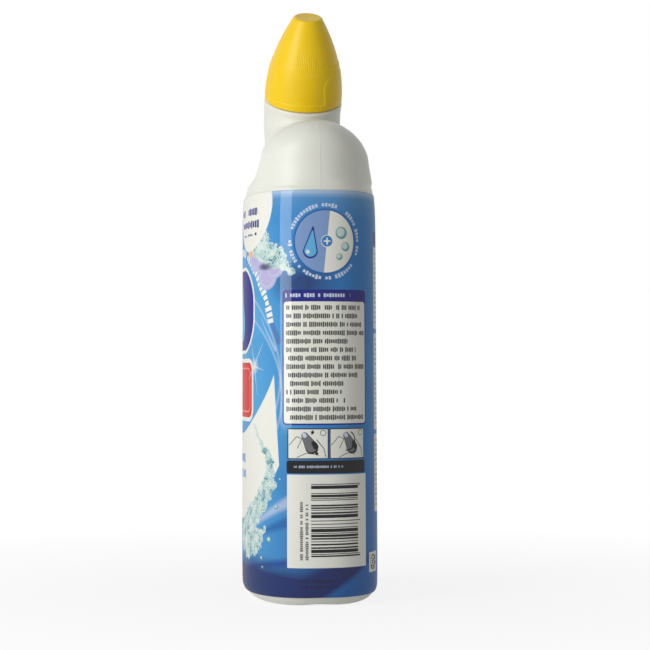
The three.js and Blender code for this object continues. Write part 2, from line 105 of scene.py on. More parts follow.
Number = Union[float, "Value"]
Triple = Union[tuple[float, float, float], "Value"]
Rgba = tuple[float, float, float, float]
Paint = Union[Rgba, "Value"]


def ink(red: int, green: int, blue: int) -> Rgba:
    """Turns a screen colour into the linear colour that a shader takes.

    Args:
        red: Red from 0 to 255.
        green: Green from 0 to 255.
        blue: Blue from 0 to 255.

    Returns:
        The linear colour with full alpha.
    """

    def linear(level: int) -> float:
        """Returns one channel in linear light."""
        share = level / 255
        return share / 12.92 if share <= 0.04045 else ((share + 0.055) / 1.055) ** 2.4

    return linear(red), linear(green), linear(blue), 1.0


class Value:
    """One output of a shader graph, with the arithmetic that the finishes are written in."""

    def __init__(self, graph: "Graph", socket: bpy.types.NodeSocket) -> None:
        """Keeps the socket and the graph that it belongs to."""
        self.graph = graph
        self.socket = socket

    def __add__(self, other: Number) -> "Value":
        """Returns self + other."""
        return self.graph.maths("ADD", self, other)

    def __radd__(self, other: Number) -> "Value":
        """Returns other + self."""
        return self.graph.maths("ADD", other, self)

    def __sub__(self, other: Number) -> "Value":
        """Returns self - other."""
        return self.graph.maths("SUBTRACT", self, other)

    def __rsub__(self, other: Number) -> "Value":
        """Returns other - self."""
        return self.graph.maths("SUBTRACT", other, self)

    def __mul__(self, other: Number) -> "Value":
        """Returns self * other."""
        return self.graph.maths("MULTIPLY", self, other)

    def __rmul__(self, other: Number) -> "Value":
        """Returns other * self."""
        return self.graph.maths("MULTIPLY", other, self)

    def __truediv__(self, other: Number) -> "Value":
        """Returns self / other."""
        return self.graph.maths("DIVIDE", self, other)

    def __rtruediv__(self, other: Number) -> "Value":
        """Returns other / self."""
        return self.graph.maths("DIVIDE", other, self)


class Graph:
    """The node tree of a material, of the world or of a node group."""

    def __init__(self, owner: Union[bpy.types.Material, bpy.types.World, bpy.types.NodeTree]) -> None:
        """Empties the owner's node tree.

        Args:
            owner: The material, the world or the node group.
        """
        self.owner = owner
        if isinstance(owner, bpy.types.NodeTree):
            self.tree = owner
        else:
            owner.use_nodes = True
            self.tree = owner.node_tree
        self.tree.nodes.clear()

    @classmethod
    def of_material(cls, name: str) -> "Graph":
        """Returns the empty graph of a new material."""
        return cls(bpy.data.materials.new(name))

    def grouped(self, name: str, colour: "Value", work: Callable[["Graph", "Value"], "Value"]) -> "Value":
        """Changes a colour in a node group of its own, which keeps every tree short.

        Args:
            name: The group's name.
            colour: The colour so far.
            work: Takes the group's graph and the colour, and returns the new colour.

        Returns:
            The new colour.
        """
        group = bpy.data.node_groups.new(name, "ShaderNodeTree")
        for way in ("INPUT", "OUTPUT"):
            group.interface.new_socket("Colour", in_out=way, socket_type="NodeSocketColor")
        inner = Graph(group)
        given = inner.out(inner.node("NodeGroupInput"))
        inner.node("NodeGroupOutput", None, {0: work(inner, given)})
        return self.out(self.node("ShaderNodeGroup", {"node_tree": group}, {0: colour}))

    def node(
        self, kind: str, settings: Optional[dict] = None, inputs: Optional[dict] = None
    ) -> bpy.types.Node:
        """Adds one node.

        Args:
            kind: The node's type.
            settings: Its own settings, set first. The key stops holds a ramp's places and colours.
            inputs: A value or a link for each socket, by name or number.

        Returns:
            The node.
        """
        made = self.tree.nodes.new(kind)
        for name, setting in (settings or {}).items():
            if name == "stops":
                self._set_stops(made.color_ramp, setting)
            else:
                setattr(made, name, setting)
        for key, given in (inputs or {}).items():
            if isinstance(given, Value):
                self.tree.links.new(given.socket, made.inputs[key])
            else:
                made.inputs[key].default_value = given
        return made

    @staticmethod
    def _set_stops(ramp: bpy.types.ColorRamp, stops: Sequence[tuple[float, Rgba]]) -> None:
        """Gives a ramp its places and colours.

        Args:
            ramp: The ramp.
            stops: Its places from 0 to 1, each with its colour.
        """
        for place, _ in stops[2:]:
            ramp.elements.new(place)
        for element, (place, colour) in zip(ramp.elements, stops):
            element.position = place
            element.color = colour

    def out(self, node: bpy.types.Node, key: Union[int, str] = 0) -> Value:
        """Returns one output of a node as a value."""
        return Value(self, node.outputs[key])

    def maths(self, operation: str, *terms: Number, clamp: bool = False) -> Value:
        """Returns one Math node's result, kept from 0 to 1 if asked."""
        result = self.out(self.node("ShaderNodeMath", {"operation": operation}, dict(enumerate(terms))))
        return self.out(self.node("ShaderNodeClamp", None, {0: result})) if clamp else result

    def vector(self, operation: str, *terms: Triple, key: str = "Vector") -> Value:
        """Returns one Vector Math node's vector, or its number where the key is Value."""
        node = self.node("ShaderNodeVectorMath", {"operation": operation}, dict(enumerate(terms)))
        return self.out(node, key)

    def length(self, term: Triple) -> Value:
        """Returns the length of a vector."""
        return self.vector("LENGTH", term, key="Value")

    def dot(self, one: Triple, other: Triple) -> Value:
        """Returns the dot product of two vectors."""
        return self.vector("DOT_PRODUCT", one, other, key="Value")

    def split(self, term: Triple) -> tuple[Value, Value, Value]:
        """Returns a vector's three numbers."""
        node = self.node("ShaderNodeSeparateXYZ", None, {0: term})
        return self.out(node, 0), self.out(node, 1), self.out(node, 2)

    def join(self, x: Number, y: Number, z: Number = 0.0) -> Value:
        """Returns a vector of three numbers."""
        return self.out(self.node("ShaderNodeCombineXYZ", None, {0: x, 1: y, 2: z}))

    def mix(self, below: Paint, above: Paint, mask: Number) -> Value:
        """Returns the colour below where the mask is 0 and the one above where it is 1."""
        node = self.node("ShaderNodeMix", {"data_type": "RGBA"}, {0: mask, 6: below, 7: above})
        return self.out(node, 2)

    def ramp(self, place: Value, stops: Sequence[tuple[float, Rgba]]) -> Value:
        """Returns the colour of a ramp at a place from 0 to 1."""
        return self.out(self.node("ShaderNodeValToRGB", {"stops": stops}, {0: place}))

    def noise(
        self, place: Triple, scale: float, detail: float = 2.0, roughness: float = 0.5, seed: float = 0.0
    ) -> Value:
        """Returns smooth noise from 0 to 1 at a place."""
        inputs = {"Vector": place, "Scale": scale, "Detail": detail, "Roughness": roughness, "W": seed}
        return self.out(self.node("ShaderNodeTexNoise", {"noise_dimensions": "4D"}, inputs), "Fac")

    def cells(self, place: Value, size: float) -> Value:
        """Returns how far a place is from the middle of its cell, as a share of the cells' size."""
        inputs = {"Vector": place, "Scale": 1 / size}
        return self.out(self.node("ShaderNodeTexVoronoi", {"feature": "F1"}, inputs), "Distance")

    def drift(self, way: Value) -> Value:
        """Returns smooth noise from 0 to 1 along one number."""
        inputs = {"W": way, "Scale": 1.0, "Detail": 1.0}
        return self.out(self.node("ShaderNodeTexNoise", {"noise_dimensions": "1D"}, inputs), "Fac")

    def speckle(self, x: Number, y: Number = 0.0) -> Value:
        """Returns a number from 0 to 1 that differs from each cell to the next."""
        inputs = {"W": self.maths("MULTIPLY_ADD", y, ROW_STRIDE, x)}
        return self.out(self.node("ShaderNodeTexWhiteNoise", {"noise_dimensions": "1D"}, inputs), "Value")

    def edge(self, distance: Value, softness: float = PRINT_EDGE) -> Value:
        """Returns 1 where a distance is above 0 and 0 where it is below, over a soft edge."""
        return self.maths("MULTIPLY_ADD", distance, 1 / softness, 0.5, clamp=True)

    def place(self) -> Value:
        """Returns the place on the piece in its own metres."""
        return self.out(self.node("ShaderNodeTexCoord"), "Object")

    def bump(
        self, height: Value, depth: float, strength: float = 1.0, below: Optional[Value] = None
    ) -> Value:
        """Returns a normal raised by a height from 0 to 1.

        Args:
            height: The height, from 0 to 1.
            depth: What a height of 1 stands for, in metres.
            strength: How much of it shows.
            below: The normal of a bump under this one.

        Returns:
            The normal.
        """
        inputs = {"Height": height, "Distance": depth, "Strength": strength}
        if below is not None:
            inputs["Normal"] = below
        return self.out(self.node("ShaderNodeBump", None, inputs), "Normal")

    def finish(self, **sockets: object) -> bpy.types.Material:
        """Ends the graph in a Principled shader.

        Args:
            **sockets: The shader's sockets, with underscores for the spaces in their names.

        Returns:
            The material.
        """
        inputs = {name.replace("_", " "): given for name, given in sockets.items()}
        shader = self.node("ShaderNodeBsdfPrincipled", None, inputs)
        self.node("ShaderNodeOutputMaterial", None, {"Surface": self.out(shader)})
        return self.owner


@dataclass(frozen=True)
class MouldedPlastic:
    """A plain moulded plastic: two close tones, a fine orange peel and an uneven sheen."""

    name: str
    tone: Rgba
    shade: Rgba
    roughness: float
    patch: float = 14 * MM
    peel: float = 0.9 * MM
    peel_depth: float = 0.02 * MM
    sheen_change: float = 0.05
    specular: float = 0.5
    glow: float = 0.0
    glow_depth: float = 2 * MM
    parting: float = 0.0
    parting_width: float = 0.5 * MM

    def material(self) -> bpy.types.Material:
        """Makes the finish.

        Returns:
            The material.
        """
        graph = Graph.of_material(self.name)
        place = graph.place()
        patches = graph.noise(place, 1 / self.patch, detail=3)
        peel = graph.noise(place, 1 / self.peel, detail=1)
        normal = graph.bump(peel, self.peel_depth, 0.5)
        if self.parting:
            _, across, _ = graph.split(place)
            ridge = graph.edge(self.parting_width / 2 - graph.maths("ABSOLUTE", across), self.parting_width)
            normal = graph.bump(ridge, self.parting, below=normal)
        return graph.finish(
            Base_Color=graph.mix(self.tone, self.shade, patches),
            Roughness=self.roughness + (patches - 0.5) * self.sheen_change,
            Specular_IOR_Level=self.specular,
            Subsurface_Weight=self.glow,
            Subsurface_Radius=(1.0, 0.9, 0.7),
            Subsurface_Scale=self.glow_depth,
            Normal=normal,
        )


@dataclass(frozen=True)
class ClearGel:
    """The gel: a clear blue with small air bells caught in it."""

    name: str = "blue_gel"
    tone: Rgba = ink(40, 150, 215)
    deep: Rgba = ink(16, 92, 170)
    bubble: Rgba = ink(190, 226, 244)
    bubble_pitch: float = 3.5 * MM
    bubble_radius: float = 0.16
    bubble_edge: float = 0.05
    bubble_strength: float = 0.6
    bubble_depth: float = 0.1 * MM
    bubble_roughness: float = 0.2
    roughness: float = 0.08
    cloud: float = 60.0

    def material(self) -> bpy.types.Material:
        """Makes the finish.

        Returns:
            The material.
        """
        graph = Graph.of_material(self.name)
        place = graph.place()
        bubbles = graph.edge(self.bubble_radius - graph.cells(place, self.bubble_pitch), self.bubble_edge)
        body = graph.mix(self.tone, self.deep, graph.noise(place, self.cloud, detail=3))
        return graph.finish(
            Base_Color=graph.mix(body, self.bubble, bubbles * self.bubble_strength),
            Roughness=self.roughness + bubbles * self.bubble_roughness,
            Normal=graph.bump(bubbles, self.bubble_depth, 0.4),
        )


@dataclass(frozen=True)
class CellFoam:
    """The liner's soft foam: small closed cells, with painted shade in their pits, and an even, dull surface.
    """

    name: str = "liner_foam"
    tone: Rgba = ink(244, 244, 238)
    # The darker tone is painted shade, laid in the pits at the middles of the cells.
    shade: Rgba = ink(214, 214, 206)
    cell: float = 0.28 * MM
    cell_depth: float = 0.06 * MM
    roughness: float = 0.82
    roughness_change: float = 0.1

    def material(self) -> bpy.types.Material:
        """Makes the finish.

        Returns:
            The material.
        """
        graph = Graph.of_material(self.name)
        place = graph.place()
        hollow = graph.cells(place, self.cell)
        return graph.finish(
            # Painted shade: the pits in the middles of the cells, where the bump sinks, take the darker tone.
            Base_Color=graph.mix(self.shade, self.tone, graph.edge(hollow - 0.3, 0.5)),
            Roughness=self.roughness + hollow * self.roughness_change,
            Normal=graph.bump(hollow, self.cell_depth, 0.6),
        )


class Panel(NamedTuple):
    """A rounded rectangle on the film, in millimetres: across is the arc, up is the height."""

    left: float
    bottom: float
    right: float
    top: float
    round: float = 0.0

    def grown(self, rim: float) -> "Panel":
        """Returns the same panel with a rim added all round."""
        return Panel(
            self.left - rim, self.bottom - rim, self.right + rim, self.top + rim, max(0.0, self.round + rim)
        )


Spot = tuple[float, float]


class Marks(NamedTuple):
    """How the small marks that stand for lettering differ, as shares of their room."""

    height: float
    height_change: float
    width: float
    gaps: float


ROW_MARKS = Marks(0.2, 0.12, 0.38, 0.16)
RING_MARKS = Marks(0.55, 0.45, 0.36, 0.14)


class Film:
    """The film under print: its colour so far, and the shapes that it is printed in.

    A shape is how far inside its edge a point of the film lies, in millimetres.
    """

    def __init__(self, graph: Graph, place: Value, across: Value, up: Value, colour: Value) -> None:
        """Starts a print.

        Args:
            graph: The film's node tree.
            place: The film's own coordinates, for its noise.
            across: The arc round the bottle, in millimetres.
            up: The height, in millimetres.
            colour: The ground that is printed on.
        """
        self.graph = graph
        self.place = place
        self.across = across
        self.up = up
        self.colour = colour
        self.point = graph.join(across, up)

    def paint(self, mask: Value, colour: Paint, strength: float = 1.0) -> None:
        """Lays a colour over the print where a mask is 1."""
        self.colour = self.graph.mix(self.colour, colour, mask * strength if strength != 1.0 else mask)

    def fill(self, shape: Value, colour: Paint, softness: float = PRINT_EDGE, strength: float = 1.0) -> None:
        """Fills a shape with a colour, over an edge of some softness."""
        self.paint(self.graph.edge(shape, softness), colour, strength)

    def _from(self, centre: Spot) -> Value:
        """Returns the way from a spot to the point."""
        return self.graph.vector("SUBTRACT", self.point, (*centre, 0.0))

    def disc(self, centre: Spot, radius: float) -> Value:
        """Returns a disc."""
        return radius - self.graph.length(self._from(centre))

    def oval(self, centre: Spot, half: Spot) -> Value:
        """Returns an ellipse."""
        share = self.graph.length(self.graph.vector("DIVIDE", self._from(centre), (*half, 1.0)))
        return (1.0 - share) * min(half)

    def ring(self, centre: Spot, radius: float, width: float) -> Value:
        """Returns a ring of a half width."""
        return width - self.graph.maths("ABSOLUTE", self.disc(centre, radius))

    def panel(self, panel: Panel) -> Value:
        """Draws a rounded rectangle.

        Args:
            panel: Its edges and its rounding.

        Returns:
            The shape.
        """
        graph = self.graph
        rounding = max(panel.round, 0.15)
        middle = ((panel.left + panel.right) / 2, (panel.bottom + panel.top) / 2)
        half = ((panel.right - panel.left) / 2 - rounding, (panel.top - panel.bottom) / 2 - rounding, 0.0)
        away = graph.vector("SUBTRACT", graph.vector("ABSOLUTE", self._from(middle)), half)
        return rounding - graph.length(graph.vector("MAXIMUM", away, (0.0, 0.0, 0.0)))

    def stroke(self, start: Spot, end: Spot, wide: float, narrow: Optional[float] = None) -> Value:
        """Draws a stroke with round ends, whose half width may change on its way.

        Args:
            start: Where it starts.
            end: Where it ends.
            wide: Its half width at the start.
            narrow: Its half width at the end, if that differs.

        Returns:
            The shape.
        """
        along = Vector(end) - Vector(start)
        offset = self._from(start)
        place = self.graph.dot(offset, (along.x, along.y, 0.0))
        share = self.graph.maths("MULTIPLY", place, 1 / along.length_squared, clamp=True)
        foot = self.graph.join(share * along.x, share * along.y)
        away = self.graph.length(self.graph.vector("SUBTRACT", offset, foot))
        last = wide if narrow is None else narrow
        return wide + share * (last - wide) - away

    def curve(self, spots: Sequence[Spot], wide: float, narrow: Optional[float] = None) -> Value:
        """Draws strokes one after another.

        Args:
            spots: The spots that it goes through.
            wide: Its half width at the start.
            narrow: Its half width at the end, if that differs.

        Returns:
            The shape.
        """
        last = wide if narrow is None else narrow
        widths = [wide + (last - wide) * number / (len(spots) - 1) for number in range(len(spots))]
        strokes = [
            self.stroke(spots[number], spots[number + 1], widths[number], widths[number + 1])
            for number in range(len(spots) - 1)
        ]
        return self.joined(*strokes)

    def side(self, start: Spot, end: Spot) -> Value:
        """Draws all that lies on the left of a line.

        Args:
            start: A spot on the line.
            end: A spot further along it.

        Returns:
            The shape.
        """
        along = (Vector(end) - Vector(start)).normalized()
        normal = Vector((-along.y, along.x))
        return self.graph.dot(self.point, (normal.x, normal.y, 0.0)) - normal.dot(Vector(start))

    def joined(self, *shapes: Value) -> Value:
        """Returns the shapes together."""
        return reduce(partial(self.graph.maths, "MAXIMUM"), shapes)

    def within(self, *shapes: Value) -> Value:
        """Returns what the shapes share."""
        return reduce(partial(self.graph.maths, "MINIMUM"), shapes)

    def _cells(self, place: Value, size: float) -> tuple[Value, Value]:
        """Returns the number of the cell at a place, and how far from its middle the place is."""
        cell = self.graph.maths("FLOOR", place / size)
        return cell, self.graph.maths("ABSOLUTE", place - (cell + 0.5) * size)

    def lines(
        self, panel: Panel, pitch: float, letter: float, ragged: float = 0.3, seed: float = 0.0
    ) -> Value:
        """Returns a mask of broken rows that stand for lettering.

        Args:
            panel: Where the rows are.
            pitch: From row to row.
            letter: The width of one mark with its gap.
            ragged: The share of the width by which the rows' ends differ.
            seed: Changes the marks.

        Returns:
            The mask, 1 on the marks.
        """
        graph = self.graph
        row, off_row = self._cells(panel.top - self.up, pitch)
        mark, off_mark = self._cells(self.across, letter)
        tall = pitch * (ROW_MARKS.height + ROW_MARKS.height_change * graph.speckle(mark, row + (seed + 3.3)))
        space = graph.maths("GREATER_THAN", graph.speckle(mark, row + (seed + 9.1)), ROW_MARKS.gaps)
        reach = (panel.right - panel.left) * ragged
        end = (panel.right - self.across) - graph.speckle(row, seed + 5.7) * reach
        marks = self.within(tall - off_row, letter * ROW_MARKS.width - off_mark, end, self.panel(panel))
        return graph.edge(marks) * space

    def dashes(self, centre: Spot, radius: float, mark: float, half: float, seed: float) -> Value:
        """Draws short marks round a circle.

        Args:
            centre: The circle's centre.
            radius: The circle's radius.
            mark: The width of one mark with its gap.
            half: The tallest mark's half height.
            seed: Changes the marks.

        Returns:
            The mask, 1 on the marks.
        """
        graph = self.graph
        x, y, _ = graph.split(self._from(centre))
        around = graph.maths("ARCTAN2", y, x) * radius
        cell, off_cell = self._cells(around, mark)
        tall = half * (RING_MARKS.height + RING_MARKS.height_change * graph.speckle(cell, seed))
        space = graph.maths("GREATER_THAN", graph.speckle(cell, seed + 4.2), RING_MARKS.gaps)
        off_ring = graph.maths("ABSOLUTE", self.disc(centre, radius))
        return graph.edge(self.within(tall - off_ring, mark * RING_MARKS.width - off_cell)) * space

    def bars(self, panels: Sequence[Panel], module: float, seed: float) -> Value:
        """Draws level bars of chance widths.

        Args:
            panels: Where the bars show.
            module: The narrowest bar.
            seed: Changes the bars.

        Returns:
            The mask, 1 on the bars.
        """
        bar, _ = self._cells(self.up, module)
        dark = self.graph.maths("GREATER_THAN", self.graph.speckle(bar, seed), 0.5)
        return self.graph.edge(self.joined(*(self.panel(panel) for panel in panels))) * dark

    def checks(self, panel: Panel, cell: float, seed: float) -> Value:
        """Draws chance square cells.

        Args:
            panel: Where the cells show.
            cell: The size of a cell.
            seed: Changes the cells.

        Returns:
            The mask, 1 on the dark cells.
        """
        column, _ = self._cells(self.across, cell)
        row, _ = self._cells(self.up, cell)
        dark = self.graph.maths("GREATER_THAN", self.graph.speckle(column, row + seed), 0.5)
        return self.graph.edge(self.panel(panel)) * dark

    def on_side(self) -> "Film":
        """Returns the same print turned a quarter, for rows that run up the bottle."""
        return Film(self.graph, self.place, self.up, 0.0 - self.across, self.colour)

    def mirrored(self, middle: float) -> "Film":
        """Returns the same print with both sides of a line alike."""
        across = self.graph.maths("ABSOLUTE", self.across - middle)
        return Film(self.graph, self.place, across, self.up, self.colour)


@dataclass(frozen=True)
class SleevePrint:
    """The glossy printed film, in fields of colour and simple shapes."""

    name: str = "printed_film"
    gloss: float = 0.4
    coat: float = 0.25
    coat_index: float = 1.9
    coat_roughness: float = 0.05
    ripple: float = 28.0
    ripple_depth: float = 0.2 * MM
    top: float = 182.0
    front: float = -62.0
    night: Rgba = ink(28, 30, 96)
    navy: Rgba = ink(24, 30, 132)
    ocean: Rgba = ink(28, 98, 172)
    blue: Rgba = ink(42, 132, 204)
    sky: Rgba = ink(94, 180, 228)
    slate: Rgba = ink(128, 160, 208)
    pale: Rgba = ink(204, 216, 236)
    white: Rgba = ink(240, 240, 230)
    red: Rgba = ink(216, 42, 34)
    coral: Rgba = ink(246, 150, 130)
    black: Rgba = ink(24, 24, 26)
    grey: Rgba = ink(116, 118, 120)
    teal: Rgba = ink(92, 160, 172)
    mint: Rgba = ink(206, 226, 220)
    lilac: Rgba = ink(188, 182, 222)

    def material(self) -> bpy.types.Material:
        """Makes the finish.

        Returns:
            The material.
        """
        graph = Graph.of_material(self.name)
        colour = self._ground(graph)
        for layer in (
            self._shades,
            self._front_label,
            self._blossom,
            self._water,
            self._emblem,
            self._directions,
            self._pictures,
            self._code,
            self._back_label,
        ):
            colour = graph.grouped(layer.__name__.strip("_"), colour, partial(self._print, layer))
        ripple = graph.noise(graph.place(), self.ripple, detail=1)
        return graph.finish(
            Base_Color=colour,
            Roughness=self.gloss,
            Specular_IOR_Level=0.0,
            Coat_Weight=self.coat,
            Coat_IOR=self.coat_index,
            Coat_Roughness=self.coat_roughness,
            Normal=graph.bump(ripple, self.ripple_depth, 0.3),
        )

    @staticmethod
    def _place(graph: Graph) -> Value:
        """Returns the place on the film: the arc, the height and nothing."""
        return graph.out(graph.node("ShaderNodeUVMap", {"uv_map": UV_NAME}))

    def _print(self, layer: Callable[[Film], None], graph: Graph, colour: Value) -> Value:
        """Prints one layer in a graph.

        Args:
            layer: Prints on the film that it is given.
            graph: The graph.
            colour: The colour so far.

        Returns:
            The new colour.
        """
        place = self._place(graph)
        across, up, _ = graph.split(place)
        film = Film(graph, place, across, up, colour)
        layer(film)
        return film.colour

    def _ground(self, graph: Graph) -> Value:
        """Makes the blue ground, darker at the foot and pale at the upper edge.

        Args:
            graph: The film's graph.

        Returns:
            The colour.
        """
        _, up, _ = graph.split(self._place(graph))
        stops = [
            (0.0, self.ocean),
            (0.16, ink(36, 116, 190)),
            (0.45, self.blue),
            (0.93, self.blue),
            (0.98, ink(84, 148, 204)),
            (1.0, ink(170, 196, 228)),
        ]
        return graph.ramp(up / self.top, stops)

    def _shades(self, film: Film) -> None:
        """Prints the light and dark sweeps of the ground.

        Args:
            film: The film.
        """
        graph = film.graph
        front = film.mirrored(self.front)
        light = graph.edge(48.0 - front.across, 34.0) * graph.edge(174.0 - film.up, 20.0)
        film.paint(light, self.sky, 0.7)
        drift = graph.drift(film.up * 0.03 + film.across * 0.01)
        film.paint(graph.edge(drift - 0.52, 0.3), self.ocean, 0.3)
        wave = graph.drift(film.across * 0.03) * 14.0
        dusk = graph.edge(film.side((3.8, 5.7), (23.6, 18.0)), 2.5) * graph.edge(12.0 + wave - film.up, 8.0)
        film.paint(dusk, self.night, 0.92)
        behind = graph.edge(film.across - 70.0, 50.0) * graph.edge(12.0 + wave - film.up, 8.0)
        film.paint(behind, self.night, 0.92)
        film.fill(film.oval((-8.0, 141.0), (11.0, 7.0)), self.night, 9.0, 0.8)
        for stroke, colour, softness, strength in (
            (((-46.0, 15.5), (-14.0, 19.5), 0.4, 1.8), self.navy, 2.4, 0.6),
            (((-34.0, 30.5), (-13.0, 37.5), 0.4, 2.6), self.ocean, 2.4, 0.8),
            (((-44.0, 31.0), (-12.0, 47.0), 0.2, 2.4), self.pale, 2.2, 0.6),
            (((-29.3, 137.5), (-19.4, 115.8), 0.5, 1.6), ink(82, 130, 188), 0.5, 1.0),
            (((-30.5, 126.0), (-21.0, 112.0), 0.1, 0.7), self.pale, 0.8, 0.6),
        ):
            film.fill(film.stroke(*stroke), colour, softness, strength)
        for centre, radius in (((-60.0, 100.0), 41.5), ((-56.0, 92.0), 38.5)):
            arc = film.within(film.ring(centre, radius, 0.45), film.side((-20.0, 76.0), (-16.0, 76.0)))
            film.fill(arc, self.pale, 0.9, 0.5)

    def _front_label(self, film: Film) -> None:
        """Prints the front: a white sweep, a navy field, a red block and broken lettering.

        Args:
            film: The film.
        """
        front = film.mirrored(self.front)
        edge = (40.0 + (102.8 - film.up) * 0.0711) - front.across
        under = 0.0 - front.disc((0.0, 118.0), 43.5)
        front.fill(front.within(under, front.disc((0.0, 84.5), 48.7), edge), self.white)
        front.paint(front.lines(Panel(-1.0, 53.0, 15.0, 67.0), 7.0, 1.9, 0.3, 2.0), self.blue)
        around = film.graph.edge(film.side((-62.0, 118.0), (-20.0, 124.0)))
        front.paint(front.dashes((0.0, 118.0), 38.6, 2.7, 2.1, 3.0) * around, self.white)
        field_panel = Panel(-24.0, 112.0, 24.0, 148.0, 15.0)
        front.fill(front.panel(field_panel.grown(1.5)), self.white)
        front.fill(front.panel(field_panel), self.navy)
        drop = front.joined(front.disc((0.0, 124.0), 8.0), front.stroke((0.0, 126.0), (0.0, 143.0), 7.0, 0.4))
        front.fill(drop, self.sky)
        block = Panel(-24.0, 82.0, 22.0, 106.5, 4.0)
        front.fill(front.panel(block.grown(1.8)), self.white)
        front.fill(front.panel(block), self.red)
        outline = 0.3 - film.graph.maths("ABSOLUTE", front.panel(block.grown(-2.6)._replace(round=3.0)))
        front.fill(outline, self.coral, 0.3)
        film.colour = front.colour
        film.fill(film.stroke((-66.6, 122.0), (-65.4, 128.0), 1.2, 0.6), self.white, 0.6)
        for tip in ((-29.0, 115.0), (-34.0, 92.0), (-28.5, 103.0), (-41.0, 117.0), (-45.0, 99.0)):
            film.fill(film.stroke((-36.8, 104.9), tip, 0.5, 0.05), self.pale, 0.4, 0.8)
        film.fill(film.disc((-36.8, 104.9), 2.2), self.white, 4.0, 0.8)

    def _blossom(self, film: Film) -> None:
        """Prints lilac petals, a pale splash and the white bubble at the upper left.

        Args:
            film: The film.
        """
        for centre, radius in (
            ((-36.5, 152.5), 5.6),
            ((-30.0, 149.0), 4.6),
            ((-26.5, 144.5), 6.2),
            ((-22.0, 148.0), 5.0),
        ):
            film.fill(film.disc(centre, radius), self.lilac, 0.5)
            film.fill(film.ring(centre, radius - 1.4, 0.2), self.pale, 1.2, 0.7)
        film.fill(film.disc((-42.0, 156.5), 3.4), ink(240, 190, 150), 0.6)
        splash = film.joined(
            film.stroke((-34.0, 160.0), (-20.0, 151.0), 7.6, 4.4),
            film.stroke((-20.0, 152.0), (-14.0, 146.5), 4.6, 1.6),
        )
        self._foam(film, splash, 6.0)
        film.fill(film.oval((-27.5, 148.6), (4.2, 1.4)), self.night, 1.2, 0.8)
        bubble = film.disc((-44.0, 177.0), 21.0)
        film.fill(bubble, self.white)
        words = film.lines(Panel(-62.0, 163.0, -28.0, 176.5), 5.6, 2.3, 0.2, 1.0)
        film.paint(words * film.graph.edge(bubble - 3.5), self.navy)

    def _foam(self, film: Film, shape: Value, seed: float) -> None:
        """Prints broken water: a ragged pale shape with dark and light flecks.

        Args:
            film: The film.
            shape: The shape before its edge is torn.
            seed: Changes the flecks.
        """
        graph = film.graph
        rough = graph.noise(film.place, 0.3, 3.0, 0.55, seed)
        ragged = shape + (rough - 0.5) * 7.0
        film.fill(ragged, self.mint, 0.4)
        inside = graph.edge(ragged - 0.3, 0.6)
        swirl = graph.noise(film.place, 0.2, 2.0, 0.6, seed + 4.4)
        film.paint(inside * graph.edge(0.44 - swirl, 0.06), self.teal, 0.7)
        for level, width, tint in (
            (0.4, 0.008, ink(34, 84, 108)),
            (0.5, 0.01, self.teal),
            (0.58, 0.006, self.white),
        ):
            fold = graph.edge(width - graph.maths("ABSOLUTE", swirl - level), 0.008)
            film.paint(inside * fold, tint, 0.85)
        film.paint(inside * graph.edge(swirl - 0.63, 0.04), self.white, 0.9)

    def _bubble(
        self, film: Film, centre: Spot, radius: float, aside: float, share: float, softness: float
    ) -> None:
        """Prints a teal bubble with a paler middle.

        Args:
            film: The film.
            centre: The bubble's centre.
            radius: The bubble's radius.
            aside: How far the paler middle lies to the upper left.
            share: The middle's share of the radius.
            softness: How soft the middle's edge is.
        """
        film.fill(film.disc(centre, radius), self.teal, 0.3)
        middle = (centre[0] - aside, centre[1] + aside)
        film.fill(film.disc(middle, radius * share), self.mint, softness)

    def _water(self, film: Film) -> None:
        """Prints the ribbon of water that falls across the white sweep, and its splash.

        Args:
            film: The film.
        """
        fall = ((-36.5, 78.5), (-31.5, 72.0), (-26.5, 66.5), (-23.8, 60.5), (-24.6, 54.0))
        spots = (*fall, (-29.8, 46.0), (-39.0, 38.5), (-56.0, 28.0))
        self._foam(film, film.curve(spots, 0.4, 6.4), 1.0)
        pool = film.joined(
            film.disc((-46.0, 26.0), 7.0),
            film.disc((-37.0, 28.5), 6.5),
            film.stroke((-36.0, 25.0), (-28.0, 33.0), 3.6, 1.2),
        )
        self._foam(film, pool, 3.0)
        for centre, radius in (
            ((-20.6, 43.4), 1.0),
            ((-26.6, 42.6), 0.9),
            ((-30.4, 20.6), 0.9),
            ((-29.6, 16.6), 0.6),
            ((-25.0, 29.0), 1.4),
            ((-18.6, 55.5), 0.5),
        ):
            self._bubble(film, centre, radius, 0.2, 0.6, 0.3)

